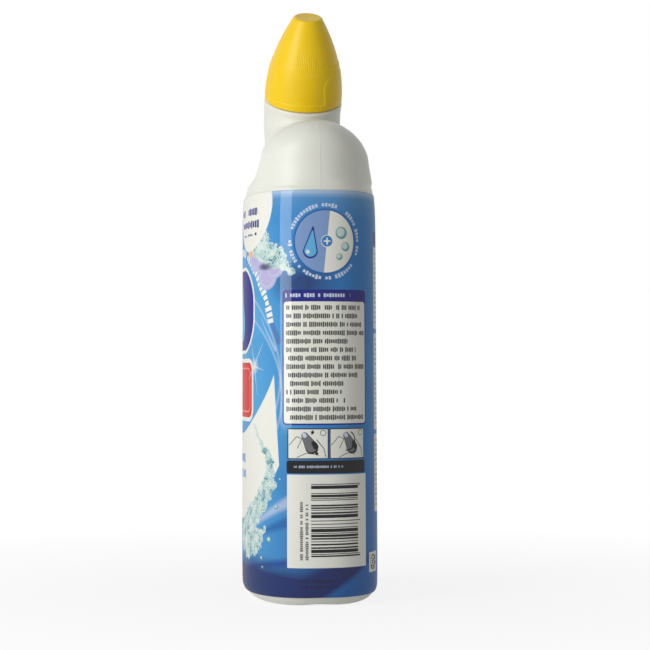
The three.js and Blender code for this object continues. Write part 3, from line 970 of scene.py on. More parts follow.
    def _emblem(self, film: Film) -> None:
        """Prints the round emblem: a water drop, three bubbles and a plus in a ring of marks.

        Args:
            film: The film.
        """
        centre = (2.3, 159.2)
        film.paint(film.dashes(centre, 16.0, 1.5, 1.0, 8.0), self.pale)
        film.fill(film.disc(centre, 14.3), self.ocean, 0.5)
        disc = film.disc(centre, 13.6)
        film.fill(disc, self.slate)
        film.fill(film.within(disc, film.side((1.5, 145.5), (4.4, 172.9)) * -1.0), self.white)
        film.fill(film.stroke((-4.4, 155.0), (-3.2, 165.5), 3.3, 0.3), self.navy, 0.3)
        film.fill(film.stroke((-4.4, 155.2), (-3.4, 163.6), 2.7, 0.3), self.sky, 0.3)
        film.fill(film.disc((-5.6, 154.6), 0.8), self.white, 0.6)
        for spot, radius in (((9.6, 163.0), 2.7), ((11.6, 157.0), 2.0), ((8.6, 152.6), 1.5)):
            self._bubble(film, spot, radius, 0.3, 0.72, 0.5)
        badge = (3.0, 159.3)
        film.fill(film.disc(badge, 2.7), self.white)
        film.fill(film.disc(badge, 2.4), self.blue)
        level = Panel(badge[0] - 1.5, badge[1] - 0.32, badge[0] + 1.5, badge[1] + 0.32)
        upright = Panel(badge[0] - 0.32, badge[1] - 1.5, badge[0] + 0.32, badge[1] + 1.5)
        film.fill(film.joined(film.panel(level), film.panel(upright)), self.white)

    def _directions(self, film: Film) -> None:
        """Prints the white panel with its navy head and its rows.

        Args:
            film: The film.
        """
        film.fill(film.panel(Panel(-17.3, 79.2, 23.9, 138.2, 2.0)), self.navy)
        film.fill(film.panel(Panel(-16.6, 79.9, 23.2, 133.0, 1.4)), self.white)
        film.paint(film.lines(Panel(-15.8, 134.2, 14.0, 137.2), 3.0, 1.25, 0.0, 4.0), self.pale)
        film.paint(film.lines(Panel(-15.6, 80.6, 22.6, 132.2), 3.68, 0.86, 0.35, 6.0), self.black, 0.95)

    def _pictures(self, film: Film) -> None:
        """Prints two framed line drawings of a tapered cap, squeezed and then turned.

        Args:
            film: The film.
        """
        frames = (Panel(-14.9, 64.4, 3.4, 77.8, 0.3), Panel(3.8, 64.4, 22.2, 77.8, 0.3))
        for frame in frames:
            film.fill(film.panel(frame), self.black)
            film.fill(film.panel(frame.grown(-0.45)), self.white)
            x = frame.left
            film.fill(film.stroke((x + 7.8, 74.6), (x + 10.8, 69.6), 1.5, 2.9), self.black)
            film.fill(film.stroke((x + 7.9, 74.4), (x + 10.6, 69.9), 1.3, 2.5), self.grey)
            film.fill(film.stroke((x + 7.5, 75.0), (x + 7.8, 74.6), 0.9), self.pale, 0.3)
            film.fill(film.stroke((x + 11.6, 71.4), (x + 12.6, 69.8), 0.9, 1.2), self.black, 0.3)
            hand = film.curve([(x + 0.8, 70.5), (x + 4.2, 74.2), (x + 6.6, 73.2), (x + 4.6, 69.2)], 0.14)
            arm = film.curve([(x + 4.4, 65.2), (x + 8.4, 67.0), (x + 12.2, 66.6), (x + 13.6, 68.4)], 0.14)
            neck = film.curve([(x + 13.0, 72.8), (x + 16.2, 69.0), (x + 17.0, 65.4)], 0.16)
            film.fill(film.joined(hand, arm, neck), self.black)
            film.fill(film.ring((x + 15.9, 75.8), 1.2, 0.13), self.black)
        down = self._arrow(film, (-3.4, 77.0), (-4.0, 75.0))
        back = self._arrow(film, (-1.2, 66.0), (-2.6, 67.8))
        film.fill(film.joined(*down, *back), self.black)
        bow = film.within(film.ring((12.0, 72.4), 4.2, 0.3), film.side((12.0, 70.0), (14.0, 76.0)) * -1.0)
        film.fill(film.joined(bow, *self._arrow(film, (15.6, 70.4), (14.6, 69.2))), self.black)

    @staticmethod
    def _arrow(film: Film, start: Spot, end: Spot) -> tuple[Value, Value]:
        """Returns a short arrow as its shaft and its head."""
        middle = (Vector(start) + Vector(end)) / 2
        return film.stroke(start, end, 0.16), film.stroke((middle.x, middle.y), end, 0.75, 0.05)

    def _code(self, film: Film) -> None:
        """Prints the dark strip, the panel of level bars, a lot column and a square of cells.

        Args:
            film: The film.
        """
        film.fill(film.panel(Panel(-15.3, 58.2, 22.7, 63.8, 0.8)), self.black)
        film.paint(film.lines(Panel(-12.0, 60.2, 10.0, 62.0), 1.8, 0.7, 0.0, 7.0), self.pale, 0.7)
        film.fill(film.panel(Panel(-15.1, 17.2, 23.4, 57.7)), self.white)
        guards = [Panel(-4.4, low, 19.2, low + 1.3) for low in (22.0, 37.4, 52.7)]
        film.paint(film.bars([Panel(-4.4, 22.0, 17.9, 54.0), *guards], 0.36, 2.0), self.black)
        upright = film.on_side()
        upright.paint(upright.lines(Panel(20.5, 5.0, 46.6, 9.8), 2.4, 0.9, 0.3, 5.0), self.black, 0.85)
        film.colour = upright.colour
        film.fill(film.panel(Panel(26.4, 13.8, 36.7, 22.6)), self.white)
        film.paint(film.checks(Panel(27.6, 14.9, 35.5, 21.5), 0.56, 1.0), self.black)
        film.paint(film.lines(Panel(-9.5, 7.6, 10.0, 12.6), 2.5, 0.8, 0.2, 2.0), self.black, 0.55)

    def _back_label(self, film: Film) -> None:
        """Prints the back's white panels and their fine rows.

        Args:
            film: The film.
        """
        for number, (low, high) in enumerate(((121.5, 158.0), (76.5, 119.5), (40.0, 74.5))):
            frame = Panel(34.0, low, 90.0, high, 1.2)
            film.fill(film.panel(frame), self.white)
            film.paint(film.lines(frame.grown(-1.6), 2.2, 0.66, 0.2, 11.0 + number), self.black, 0.75)
        film.fill(film.panel(Panel(34.0, 158.8, 90.0, 165.0, 1.2)), self.navy)


@dataclass(frozen=True)
class NeckFrame:
    """The neck's own frame: its Z runs up the neck's axis and its X runs downhill."""

    origin: Vector
    axis: Vector

    @classmethod
    def from_joints(cls, joints: Sequence[dict]) -> "NeckFrame":
        """Reads the frame from the joint that the cap turns on.

        Args:
            joints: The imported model's joints.

        Returns:
            The neck's frame.
        """
        turn = next(joint for joint in joints if joint["name"] == "cap_turn")
        return cls(Vector(turn["pos_m"]), Vector(turn["axis"]).normalized())

    def matrix(self) -> Matrix:
        """Works out the way from the neck's frame to the bottle's.

        Returns:
            The matrix.
        """
        across = Vector((0, 1, 0))
        downhill = across.cross(self.axis)
        turned = Matrix((downhill, across, self.axis)).transposed().to_4x4()
        return Matrix.Translation(self.origin) @ turned

    def carry(self, shape: bmesh.types.BMesh) -> None:
        """Moves a shape from the neck's frame to the bottle's."""
        bmesh.ops.transform(shape, matrix=self.matrix(), verts=shape.verts)


class Corner(NamedTuple):
    """A corner of a turned outline: its radius, its height and how far it is rounded."""

    radius: float
    height: float
    round: float = 0.0


ROUND_SHARES = (0.0, 0.25, 0.5, 0.75, 1.0)
TURNED_STEPS = 96


def soften(corners: Sequence[Corner]) -> list[tuple[float, float]]:
    """Rounds the corners of an outline.

    Args:
        corners: The outline's corners in order.

    Returns:
        Points of radius and height.
    """
    points: list[tuple[float, float]] = []
    for number, corner in enumerate(corners):
        here = Vector((corner.radius, corner.height))
        if not corner.round:
            points.append((here.x, here.y))
            continue
        before = Vector(corners[number - 1][:2])
        after = Vector(corners[(number + 1) % len(corners)][:2])
        start = here + (before - here).normalized() * corner.round
        end = here + (after - here).normalized() * corner.round
        for share in ROUND_SHARES:
            point = start.lerp(here, share).lerp(here.lerp(end, share), share)
            points.append((point.x, point.y))
    return points


def spin(
    shape: bmesh.types.BMesh,
    geometry: Sequence[object],
    steps: int,
    turns: float = 1.0,
    rise: float = 0.0,
    weld: float = WELD_DISTANCE,
) -> None:
    """Spins geometry about the local Z, and turns the faces of what it makes outwards.

    Args:
        shape: The shape that holds the geometry.
        geometry: What is spun.
        steps: How many steps it takes in all.
        turns: How many turns it makes. A single turn without a rise closes on itself.
        rise: How far each step goes up.
        weld: How close two points are that become one.
    """
    bmesh.ops.spin(
        shape,
        geom=geometry,
        cent=(0, 0, 0),
        axis=(0, 0, 1),
        dvec=(0, 0, rise),
        angle=TURN * turns,
        steps=steps,
        use_merge=not rise,
        use_duplicate=False,
    )
    bmesh.ops.remove_doubles(shape, verts=shape.verts, dist=weld)
    bmesh.ops.recalc_face_normals(shape, faces=shape.faces)


def turned(outline: Sequence[tuple[float, float]], steps: int, closed: bool) -> bmesh.types.BMesh:
    """Turns an outline about the local Z.

    Args:
        outline: Points of radius and height.
        steps: How many steps a full turn takes.
        closed: Whether the outline closes on itself, or else it starts and ends on the axis.

    Returns:
        The turned shape, with its faces outwards.
    """
    shape = bmesh.new()
    verts = [shape.verts.new((radius, 0, height)) for radius, height in outline]
    pairs = list(zip(verts, verts[1:]))
    if closed:
        pairs.append((verts[-1], verts[0]))
    edges = [shape.edges.new(pair) for pair in pairs]
    spin(shape, verts + edges, steps)
    return shape


@dataclass(frozen=True)
class Thread:
    """A screw thread's bead, wound about the local Z."""

    root: float
    crest: float
    start: float
    pitch: float = 3 * MM
    turns: float = 1.75
    root_width: float = 1.7 * MM
    crest_width: float = 0.7 * MM
    steps_per_turn: int = 72
    weld: float = 1e-8

    def bead(self) -> bmesh.types.BMesh:
        """Winds the bead.

        Returns:
            The bead as a closed solid.
        """
        shape = bmesh.new()
        outline = [
            (self.root, -self.root_width / 2),
            (self.crest, -self.crest_width / 2),
            (self.crest, self.crest_width / 2),
            (self.root, self.root_width / 2),
        ]
        verts = [shape.verts.new((radius, 0, self.start + height)) for radius, height in outline]
        face = shape.faces.new(verts)
        steps = round(self.steps_per_turn * self.turns)
        rise = self.pitch * self.turns / steps
        spin(shape, [*verts, *face.edges, face], steps, self.turns, rise, self.weld)
        return shape


def add_piece(name: str, shape: bmesh.types.BMesh, material: bpy.types.Material) -> bpy.types.Object:
    """Makes an object of a shape that is already in place.

    Args:
        name: The piece's name.
        shape: The shape, which is freed.
        material: The finish.

    Returns:
        The object, at the origin.
    """
    mesh = bpy.data.meshes.new(name)
    shape.to_mesh(mesh)
    shape.free()
    mesh.materials.append(material)
    mesh.shade_smooth()
    piece = bpy.data.objects.new(name, mesh)
    bpy.context.scene.collection.objects.link(piece)
    log.info("%s: %d faces", name, len(mesh.polygons))
    return piece


def subdivide(piece: bpy.types.Object, levels: int) -> None:
    """Gives a piece a live subdivision, the same on screen and in a render.

    Args:
        piece: The piece.
        levels: How often each face is divided.
    """
    smooth = piece.modifiers.new("smooth", "SUBSURF")
    smooth.levels = levels
    smooth.render_levels = levels


def merged_copy(node: bpy.types.Object) -> bmesh.types.BMesh:
    """Copies a CAD node's mesh, with its loose triangles merged into quads.

    Args:
        node: The CAD node.

    Returns:
        The copy.
    """
    shape = bmesh.new()
    shape.from_mesh(node.data)
    bmesh.ops.remove_doubles(shape, verts=shape.verts, dist=CAD_WELD_DISTANCE)
    bmesh.ops.join_triangles(
        shape,
        faces=shape.faces,
        cmp_seam=False,
        cmp_sharp=False,
        cmp_uvs=False,
        cmp_vcols=False,
        cmp_materials=False,
        angle_face_threshold=SAME_PLANE_ANGLE,
        angle_shape_threshold=SQUARE_CORNER_ANGLE,
    )
    return shape


def crease_sharp(shape: bmesh.types.BMesh, angle: float, amount: float = 1.0) -> None:
    """Keeps the sharp edges of a shape through its subdivision.

    Args:
        shape: The shape.
        angle: The least angle of a sharp edge, in radians.
        amount: How hard the crease is, from 0 to 1.
    """
    layer = shape.edges.layers.float.get("crease_edge") or shape.edges.layers.float.new("crease_edge")
    for edge in shape.edges:
        if len(edge.link_faces) == 2 and edge.calc_face_angle(0.0) > angle:
            edge[layer] = amount


@dataclass
class BottleMoulding:
    """The blow-moulded bottle: its skin, the thread on its mouth, the gel and the nozzle."""

    frame: dict
    neck: NeckFrame
    finish_radius: float = 12 * MM
    finish_height: float = 15 * MM
    bore_radius: float = 9.6 * MM
    fit_gap: float = 0.3 * MM
    nozzle_wall: float = 1.1 * MM
    nozzle_plug_depth: float = 10 * MM
    nozzle_flange: float = 1.4 * MM
    nozzle_root_radius: float = 7.2 * MM
    nozzle_tip_radius: float = 3.2 * MM
    nozzle_length: float = 17.4 * MM
    nozzle_orifice: float = 1.6 * MM
    thread_sunk: float = 0.2 * MM
    thread_depth: float = 0.45 * MM
    thread_start: float = 6 * MM
    sharp: float = math.radians(38)
    neck_foot: tuple[float, float] = (183.5 * MM, 197 * MM)
    neck_foot_passes: int = 6
    neck_foot_ease: float = 0.5
    crease: float = 0.9
    levels: int = 2
    white: MouldedPlastic = MouldedPlastic(
        "blown_polyethylene", ink(238, 238, 226), ink(230, 231, 220), 0.42, glow=0.1, parting=0.06 * MM
    )
    natural: MouldedPlastic = MouldedPlastic(
        "natural_polyethylene", ink(240, 240, 234), ink(226, 227, 220), 0.38, peel=0.6 * MM, glow=0.15
    )

    def skin(self) -> bpy.types.Object:
        """Smooths the bottle's skin from its CAD node.

        Returns:
            The skin.
        """
        shape = merged_copy(self.frame["nodes"]["bottle"])
        low, high = self.neck_foot
        foot = [vert for vert in shape.verts if low < vert.co.z < high]
        for _ in range(self.neck_foot_passes):
            bmesh.ops.smooth_vert(
                shape,
                verts=foot,
                factor=self.neck_foot_ease,
                use_axis_x=True,
                use_axis_y=True,
                use_axis_z=False,
            )
        crease_sharp(shape, self.sharp, self.crease)
        piece = add_piece("bottle_skin", shape, self.white.material())
        subdivide(piece, self.levels)
        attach(piece, Body.BOTTLE.value)
        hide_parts("bottle")
        return piece

    def thread(self) -> bpy.types.Object:
        """Winds the screw thread on the bottle's mouth.

        Returns:
            The thread.
        """
        root = self.finish_radius - self.thread_sunk
        crest = self.finish_radius + self.thread_depth
        bead = Thread(root, crest, self.thread_start)
        shape = bead.bead()
        self.neck.carry(shape)
        piece = add_piece("mouth_thread", shape, bpy.data.materials[self.white.name])
        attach(piece, Body.BOTTLE.value)
        return piece

    def nozzle(self) -> bpy.types.Object:
        """Turns the pouring nozzle that is pressed into the mouth.

        Returns:
            The nozzle.
        """
        plug = self.bore_radius - self.fit_gap
        bottom = self.finish_height - self.nozzle_plug_depth
        foot = self.finish_height + self.fit_gap
        top = foot + self.nozzle_flange
        tip = top + self.nozzle_length
        flange = self.finish_radius - 0.6 * MM
        outline = soften(
            [
                Corner(plug - 0.5 * MM, bottom),
                Corner(plug, bottom + 1.5 * MM, 0.4 * MM),
                Corner(plug, foot),
                Corner(flange, foot, 0.2 * MM),
                Corner(flange, top, 0.35 * MM),
                Corner(self.nozzle_root_radius, top, 1.2 * MM),
                Corner(self.nozzle_tip_radius, tip, 0.4 * MM),
                Corner(self.nozzle_orifice, tip, 0.2 * MM),
                Corner(self.nozzle_orifice, tip - 3 * MM, 0.2 * MM),
                Corner(self.nozzle_root_radius - self.nozzle_wall, top),
                Corner(plug - self.nozzle_wall, foot - self.nozzle_wall),
                Corner(plug - self.nozzle_wall, bottom, 0.1 * MM),
            ]
        )
        shape = turned(outline, TURNED_STEPS, closed=True)
        self.neck.carry(shape)
        piece = add_piece("pouring_nozzle", shape, self.natural.material())
        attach(piece, Body.BOTTLE.value)
        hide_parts("nozzle_insert")
        return piece

    def gel(self) -> bpy.types.Object:
        """Gives the gel its finish. It keeps its CAD shape.

        Returns:
            The CAD node.
        """
        node = self.frame["nodes"]["cleaning_gel"]
        material = ClearGel().material()
        for slot in node.material_slots:
            slot.material = material
        return node


@dataclass
class PrintedSleeve:
    """The printed film that is shrunk round the bottle."""

    frame: dict
    around: int = 40
    roundness: float = 1.2
    middle: float = 0.09
    levels: int = 2

    def film(self) -> bpy.types.Object:
        """Smooths the film from its CAD node, with its arc and height laid out in millimetres.

        Returns:
            The film.
        """
        shape = merged_copy(self.frame["nodes"]["shrink_sleeve"])
        self._lay_out(shape)
        piece = add_piece("sleeve_print", shape, SleevePrint().material())
        subdivide(piece, self.levels)
        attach(piece, Body.BOTTLE.value)
        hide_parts("shrink_sleeve")
        return piece

    def _station(self, vert: bmesh.types.BMVert, half: Vector) -> int:
        """Finds which of the ring's stations a point stands at, counted from the +X side.

        Args:
            vert: The point.
            half: Half of the film's width and depth.

        Returns:
            The station, below 0 on the -Y side.
        """
        east = math.copysign((abs(vert.co.x) / half.x) ** self.roundness, vert.co.x)
        north = math.copysign((abs(vert.co.y) / half.y) ** self.roundness, vert.co.y)
        return round(math.atan2(north, east) / TURN * self.around)

    def _lay_out(self, shape: bmesh.types.BMesh) -> None:
        """Writes each corner's arc from the +X side and its height as a UV map.

        Args:
            shape: The film's shape.
        """
        half = Vector((max(v.co.x for v in shape.verts), max(v.co.y for v in shape.verts), 0))
        middle = min((v.co.z for v in shape.verts), key=lambda z: abs(z - self.middle))
        ring: dict[int, Vector] = {}
        for vert in shape.verts:
            if abs(vert.co.z - middle) < LEVEL_TOLERANCE:
                station = self._station(vert, half)
                if station not in ring or vert.co.xy.length > ring[station].xy.length:
                    ring[station] = vert.co.copy()
        last = self.around // 2
        ring[-last] = ring[last] = ring.get(last, ring.get(-last))
        arc = {0: 0.0}
        for station in range(1, last + 1):
            arc[station] = arc[station - 1] + (ring[station] - ring[station - 1]).xy.length / MM
            arc[-station] = -arc[station]
        layer = shape.loops.layers.uv.new(UV_NAME)
        for face in shape.faces:
            side = math.copysign(1, face.calc_center_median().y)
            for loop in face.loops:
                station = self._station(loop.vert, half)
                if abs(station) == last:
                    station = int(side * last)
                loop[layer].uv = (arc[station], loop.vert.co.z / MM)


@dataclass
class SqueezeCap:
    """The tapered cap that turns once its two pads are squeezed, and its soft liner."""

    neck: NeckFrame
    foot: float = 0.3 * MM
    height: float = 40 * MM
    radius: float = 18.05 * MM
    band_height: float = 3.3 * MM
    band_step: float = 0.18 * MM
    waist_radius: float = 15.6 * MM
    waist_height: float = 19.6 * MM
    waist_step: float = 0.3 * MM
    skirt_bulge: float = 0.35 * MM
    cone_bulge: float = 0.7 * MM
    top_radius: float = 6.9 * MM
    top_round: float = 1 * MM
    wall: float = 1.3 * MM
    screw_radius: float = 12.9 * MM
    screw_wall: float = 1 * MM
    screw_start: float = 4.2 * MM
    thread_sunk: float = 0.15 * MM
    thread_depth: float = 0.3 * MM
    thread_start: float = 5.6 * MM
    liner_radius: float = 3.9 * MM
    liner_foot: float = 34.4 * MM
    liner_thickness: float = 1.5 * MM
    socket_wall: float = 0.9 * MM
    pad_angle: float = math.radians(62)
    pad_width: float = 21 * MM
    pad_height: float = 14.5 * MM
    pad_arch: float = 7.4 * MM
    pad_rise: float = 0.25 * MM
    pad_edge: float = 0.5 * MM
    rib_count: int = 108
    rib_depth: float = 0.2 * MM
    rib_span: float = math.radians(24)
    rib_top: float = 31 * MM
    rib_fade: float = math.radians(6)
    rib_run_out: float = 1.6
    skin_margin: float = 0.35 * MM
    steps: int = 432
    levels: int = 40
    yellow: MouldedPlastic = MouldedPlastic(
        "yellow_polypropylene",
        ink(253, 213, 16),
        ink(248, 205, 10),
        0.38,
        peel=0.7 * MM,
        specular=0.35,
        glow=0.08,
    )

    def _skirt(self, height: float) -> float:
        """Works out the skirt's radius.

        Args:
            height: The height above the collar.

        Returns:
            The radius.
        """
        share = (height - self.band_height) / (self.waist_height - self.band_height)
        chord = (self.radius - self.band_step) * (1 - share) + self.waist_radius * share
        return chord + 4 * self.skirt_bulge * share * (1 - share)

    def _cone(self, height: float) -> float:
        """Works out the cone's radius.

        Args:
            height: The height above the collar.

        Returns:
            The radius.
        """
        foot = self.waist_height + self.waist_step
        top = self.foot + self.height - self.top_round
        share = (height - foot) / (top - foot)
        chord = (self.waist_radius - self.waist_step) * (1 - share) + self.top_radius * share
        return chord + 4 * self.cone_bulge * share * (1 - share)

    def _outside(self) -> list[Corner]:
        """Lays out the outside of the cap, from its foot to the middle of its top.

        Returns:
            The corners in order.
        """
        top = self.foot + self.height
        waist = self.waist_height + self.waist_step
        corners = [
            Corner(self.radius, self.foot, 0.4 * MM),
            Corner(self.radius, self.band_height - self.band_step, 0.15 * MM),
        ]
        for level in range(self.levels + 1):
            height = self.band_height + (self.waist_height - self.band_height) * level / self.levels
            corners.append(Corner(self._skirt(height), height))
        for level in range(self.levels + 1):
            height = waist + (top - self.top_round - waist) * level / self.levels
            corners.append(Corner(self._cone(height), height))
        corners += [
            Corner(self.top_radius - 0.25 * MM, top - 0.45 * MM, 0.4 * MM),
            Corner(self.top_radius - self.top_round, top - 0.02 * MM, 0.35 * MM),
            Corner(5 * MM, top - 0.02 * MM, 0.2 * MM),
            Corner(4.6 * MM, top - 0.15 * MM, 0.2 * MM),
            Corner(1.1 * MM, top - 0.15 * MM, 0.15 * MM),
            Corner(0.9 * MM, top - 0.35 * MM, 0.1 * MM),
            Corner(0.0, top - 0.35 * MM),
        ]
        return corners

    def _inside(self) -> list[Corner]:
        """Lays out the inside of the cap, from the middle of its liner's boss to its foot.

        Returns:
            The corners in order.
        """
        plate = self.foot + self.height - self.wall
        liner_top = self.liner_foot + self.liner_thickness
        socket = self.liner_radius + self.fit_gap
        outer = socket + self.socket_wall
        socket_foot = self.liner_foot - self.fit_gap - 0.8 * MM
        screw_outer = self.screw_radius + self.screw_wall
        ceiling = self.waist_height - self.wall
        corners = [
            Corner(0.0, liner_top + self.fit_gap),
            Corner(2.6 * MM, liner_top + self.fit_gap, 0.2 * MM),
            Corner(2.6 * MM, plate),
            Corner(socket, plate),
            Corner(socket, socket_foot, 0.2 * MM),
            Corner(outer, socket_foot, 0.2 * MM),
            Corner(outer, self._inside_height(outer, 1.9 * MM)),
            Corner(self.screw_radius, self._inside_height(self.screw_radius, self.wall)),
            Corner(self.screw_radius, self.screw_start, 0.25 * MM),
            Corner(screw_outer, self.screw_start, 0.25 * MM),
            Corner(screw_outer, ceiling, 0.3 * MM),
        ]
        for share in (0.75, 0.5, 0.25):
            height = self.band_height + (self.waist_height - self.band_height) * share
            corners.append(Corner(self._skirt(height) - self.wall, height))
        corners += [
            Corner(self.radius - self.wall, self.band_height),
            Corner(self.radius - self.wall, self.foot, 0.25 * MM),
        ]
        return corners

    @property
    def fit_gap(self) -> float:
        """Returns the gap between the cap and what it closes on."""
        return self.foot

    def _inside_height(self, radius: float, wall: float) -> float:
        """Finds the height at which the cone is a wall further out than a radius.

        Args:
            radius: The radius.
            wall: The wall.

        Returns:
            The height.
        """
        low = self.waist_height + self.waist_step
        high = self.foot + self.height - self.top_round
        for _ in range(30):
            middle = (low + high) / 2
            if self._cone(middle) > radius + wall:
                low = middle
            else:
                high = middle
        return low

    def _pad_rise(self, around: float, radius: float, height: float) -> float:
        """Works out how proud the squeeze pads stand.

        Args:
            around: The angle round the cap.
            radius: The skirt's radius there.
            height: The height above the collar.

        Returns:
            The rise, 0 off the pads.
        """
        away = abs(radius * math.sin(around - self.pad_angle))
        half = self.pad_width / 2
        springing = self.band_height + self.pad_height - self.pad_arch
        if height <= springing:
            inside = half - away
        else:
            reach = math.hypot(away / half, (height - springing) / self.pad_arch)
            inside = (1 - reach) * self.pad_arch
        share = min(1.0, max(0.0, inside / self.pad_edge))
        return self.pad_rise * share * share * (3 - 2 * share)

    def _rib_rise(self, around: float, height: float) -> float:
        """Works out how deep the grip's ribs are cut.

        Args:
            around: The angle round the cap.
            height: The height above the collar.

        Returns:
            The rise, below 0 in a groove.
        """
        foot = self.waist_height + self.waist_step
        if not foot + 0.1 * MM < height < self.rib_top:
            return 0.0
        away = abs((around + math.pi / 2) % math.pi - math.pi / 2)
        fade_across = min(1.0, max(0.0, (self.rib_span - away) / self.rib_fade))
        fade_up = min(1.0, (self.rib_top - height) / (self.rib_top - foot) * self.rib_run_out)
        return -self.rib_depth * fade_across * fade_up * (0.5 - 0.5 * math.cos(self.rib_count * around))

    def shell(self) -> bpy.types.Object:
        """Turns the cap's shell, raises its pads and cuts its ribs.

        Returns:
            The shell.
        """
        outline = soften(self._inside() + self._outside())
        shape = turned(outline, self.steps, closed=False)
        for vert in shape.verts:
            radius = vert.co.xy.length
            height = vert.co.z
            around = math.atan2(vert.co.y, vert.co.x)
            rise = 0.0
            on_skirt = self.band_height - 0.01 * MM <= height <= self.waist_height
            if on_skirt and radius > self._skirt(height) - self.skin_margin:
                rise = self._pad_rise(around, radius, height)
            elif height > self.waist_height and radius > self._cone(height) - self.skin_margin:
                rise = self._rib_rise(around, height)
            if rise:
                vert.co.xy *= (radius + rise) / radius
        self.neck.carry(shape)
        piece = add_piece("cap_shell", shape, self.yellow.material())
        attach(piece, Body.CAP.value)
        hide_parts("cap")
        return piece

    def thread(self) -> bpy.types.Object:
        """Winds the screw thread inside the cap.

        Returns:
            The thread.
        """
        root = self.screw_radius + self.thread_sunk
        crest = self.screw_radius - self.thread_depth
        bead = Thread(root, crest, self.thread_start)
        shape = bead.bead()
        self.neck.carry(shape)
        piece = add_piece("cap_thread", shape, bpy.data.materials[self.yellow.name])
        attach(piece, Body.CAP.value)
        return piece

    def liner(self) -> bpy.types.Object:
        """Turns the soft liner that closes the nozzle, with the tip's ring pressed into it.

        Returns:
            The liner.
        """
        top = self.liner_foot + self.liner_thickness
        outline = soften(
            [
                Corner(0.0, self.liner_foot + 0.12 * MM),
                Corner(1.9 * MM, self.liner_foot + 0.12 * MM, 0.2 * MM),
                Corner(2.2 * MM, self.liner_foot + 0.3 * MM, 0.2 * MM),
                Corner(2.9 * MM, self.liner_foot + 0.3 * MM, 0.2 * MM),
                Corner(3.2 * MM, self.liner_foot, 0.15 * MM),
                Corner(self.liner_radius, self.liner_foot, 0.2 * MM),
                Corner(self.liner_radius, top, 0.2 * MM),
                Corner(0.0, top),
            ]
        )
        shape = turned(outline, TURNED_STEPS, closed=False)
        self.neck.carry(shape)
        piece = add_piece("nozzle_liner", shape, CellFoam().material())
        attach(piece, Body.LINER.value)
        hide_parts("cap_liner")
        return piece


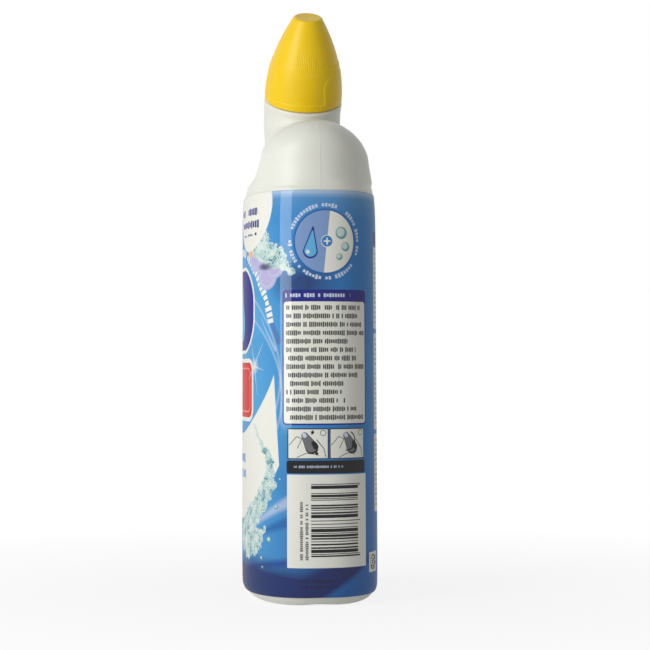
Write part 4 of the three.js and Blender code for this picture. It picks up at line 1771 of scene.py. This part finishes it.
@dataclass
class Studio:
    """The white studio: a floor, a tall softbox on the left, a weak fill and the camera."""

    camera_distance: float = 850 * MM
    camera_height: float = 104 * MM
    camera_azimuth: float = math.radians(83)
    pixel: float = 0.458 * MM
    frame_pixels: float = 650
    axis_column: float = 308.6
    horizon_row: float = 368
    lean: float = math.radians(0.16)
    sensor: float = 36.0
    floor_reach: float = 6.0
    floor_light: Rgba = (0.9, 0.9, 0.9, 1.0)
    floor_dark: Rgba = (0.86, 0.86, 0.86, 1.0)
    floor_grain: float = 8.0
    shadow_share: float = 0.14
    shadow_reach: float = 0.22
    shadow_fade: float = 0.3
    key_angle: float = math.radians(55)
    key_distance: float = 0.7
    key_width: float = 0.35
    key_height: float = 0.5
    key_rise: float = 0.3
    key_aim: float = 0.12
    key_power: float = 3.2
    fill_level: float = 0.3
    backdrop: Rgba = (1.0, 1.0, 1.0, 1.0)

    def build(self) -> None:
        """Sets up the floor, the lamps, the world and the camera."""
        self._floor()
        self._key()
        self._world()
        self._camera()

    def _looks(self, graph: Graph) -> Value:
        """Tells the rays that see the background, straight or in a mirror or glass.

        Args:
            graph: The graph that asks.

        Returns:
            1 for such a ray, 0 for any other.
        """
        path = graph.node("ShaderNodeLightPath")
        straight = graph.out(path, "Is Camera Ray")
        mirrored = graph.out(path, "Is Glossy Ray")
        through = graph.out(path, "Is Transmission Ray")
        return graph.maths("ADD", straight + mirrored, through, clamp=True)

    def _floor(self) -> None:
        """Lays the pale floor, which looks white and keeps the bottle's shadow."""
        graph = Graph.of_material("studio_floor")
        grain = graph.noise(graph.place(), self.floor_grain, detail=2)
        tone = graph.mix(self.floor_light, self.floor_dark, grain)
        matte = graph.node("ShaderNodeBsdfDiffuse", None, {"Color": tone})
        bright = graph.node("ShaderNodeEmission", None, {"Color": self.backdrop, "Strength": 1.0})
        away = graph.length(graph.place())
        beyond = graph.edge(away - self.shadow_reach, self.shadow_fade)
        fade = (1 - self.shadow_share) + self.shadow_share * beyond
        inputs = {0: self._looks(graph) * fade, 1: graph.out(matte), 2: graph.out(bright)}
        mixed = graph.node("ShaderNodeMixShader", None, inputs)
        graph.node("ShaderNodeOutputMaterial", None, {"Surface": graph.out(mixed)})
        shape = bmesh.new()
        bmesh.ops.create_grid(shape, x_segments=1, y_segments=1, size=self.floor_reach)
        floor = add_piece("studio_floor", shape, graph.owner)

    def _key(self) -> None:
        """Hangs the tall softbox to the left of the camera."""
        lamp = bpy.data.lights.new("key_softbox", "AREA")
        lamp.shape = "RECTANGLE"
        lamp.size = self.key_width
        lamp.size_y = self.key_height
        lamp.energy = self.key_power
        holder = bpy.data.objects.new("key_softbox", lamp)
        across = Vector((math.cos(self.key_angle), -math.sin(self.key_angle), 0))
        holder.location = across * self.key_distance + Vector((0, 0, self.key_rise))
        aim = Vector((0, 0, self.key_aim)) - holder.location
        holder.rotation_euler = aim.to_track_quat("-Z", "Y").to_euler()
        bpy.context.scene.collection.objects.link(holder)

    def _world(self) -> None:
        """Makes the world white to the camera and a weak even fill for the bottle."""
        world = bpy.data.worlds.new("studio")
        bpy.context.scene.world = world
        graph = Graph(world)
        seen = self._looks(graph)
        strength = self.fill_level + (1 - self.fill_level) * seen
        shader = graph.node("ShaderNodeBackground", None, {"Color": self.backdrop, "Strength": strength})
        graph.node("ShaderNodeOutputWorld", None, {"Surface": graph.out(shader)})

    def _camera(self) -> None:
        """Stands the camera where the photograph was taken from."""
        focal_pixels = self.camera_distance / self.pixel
        lens = bpy.data.cameras.new("photo_camera")
        lens.sensor_width = self.sensor
        lens.lens = focal_pixels / self.frame_pixels * self.sensor
        across = Vector((math.cos(self.camera_azimuth), math.sin(self.camera_azimuth), 0))
        ahead = Vector((-math.sin(self.camera_azimuth), math.cos(self.camera_azimuth), 0))
        centre = self.frame_pixels / 2
        aim = ahead * focal_pixels + across * (centre - self.axis_column)
        aim.z = self.horizon_row - centre
        aim.normalize()
        right = aim.cross(Vector((0, 0, 1)) + across * math.sin(self.lean)).normalized()
        over = right.cross(aim)
        placed = Matrix((right, over, -aim)).transposed().to_4x4()
        camera = bpy.data.objects.new("photo_camera", lens)
        camera.matrix_world = (
            Matrix.Translation(Vector((0, 0, self.camera_height)) - ahead * self.camera_distance) @ placed
        )
        bpy.context.scene.collection.objects.link(camera)
        bpy.context.scene.camera = camera


def main() -> None:
    """Builds the stage and every piece of the bottle."""
    logging.basicConfig(level=logging.INFO, format="%(name)s: %(message)s")
    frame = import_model()
    neck = NeckFrame.from_joints(frame["joints"])
    Studio().build()
    bottle = BottleMoulding(frame, neck)
    sleeve = PrintedSleeve(frame)
    cap = SqueezeCap(neck)
    makers: list[Callable[[], bpy.types.Object]] = [
        bottle.skin,
        bottle.thread,
        bottle.nozzle,
        bottle.gel,
        sleeve.film,
        cap.shell,
        cap.thread,
        cap.liner,
    ]
    for maker in makers:
        piece = maker()
        log.info("made %s", piece.name)
    scene = bpy.context.scene
    scene.view_settings.view_transform = "Standard"


if __name__ == "__main__":
    main()
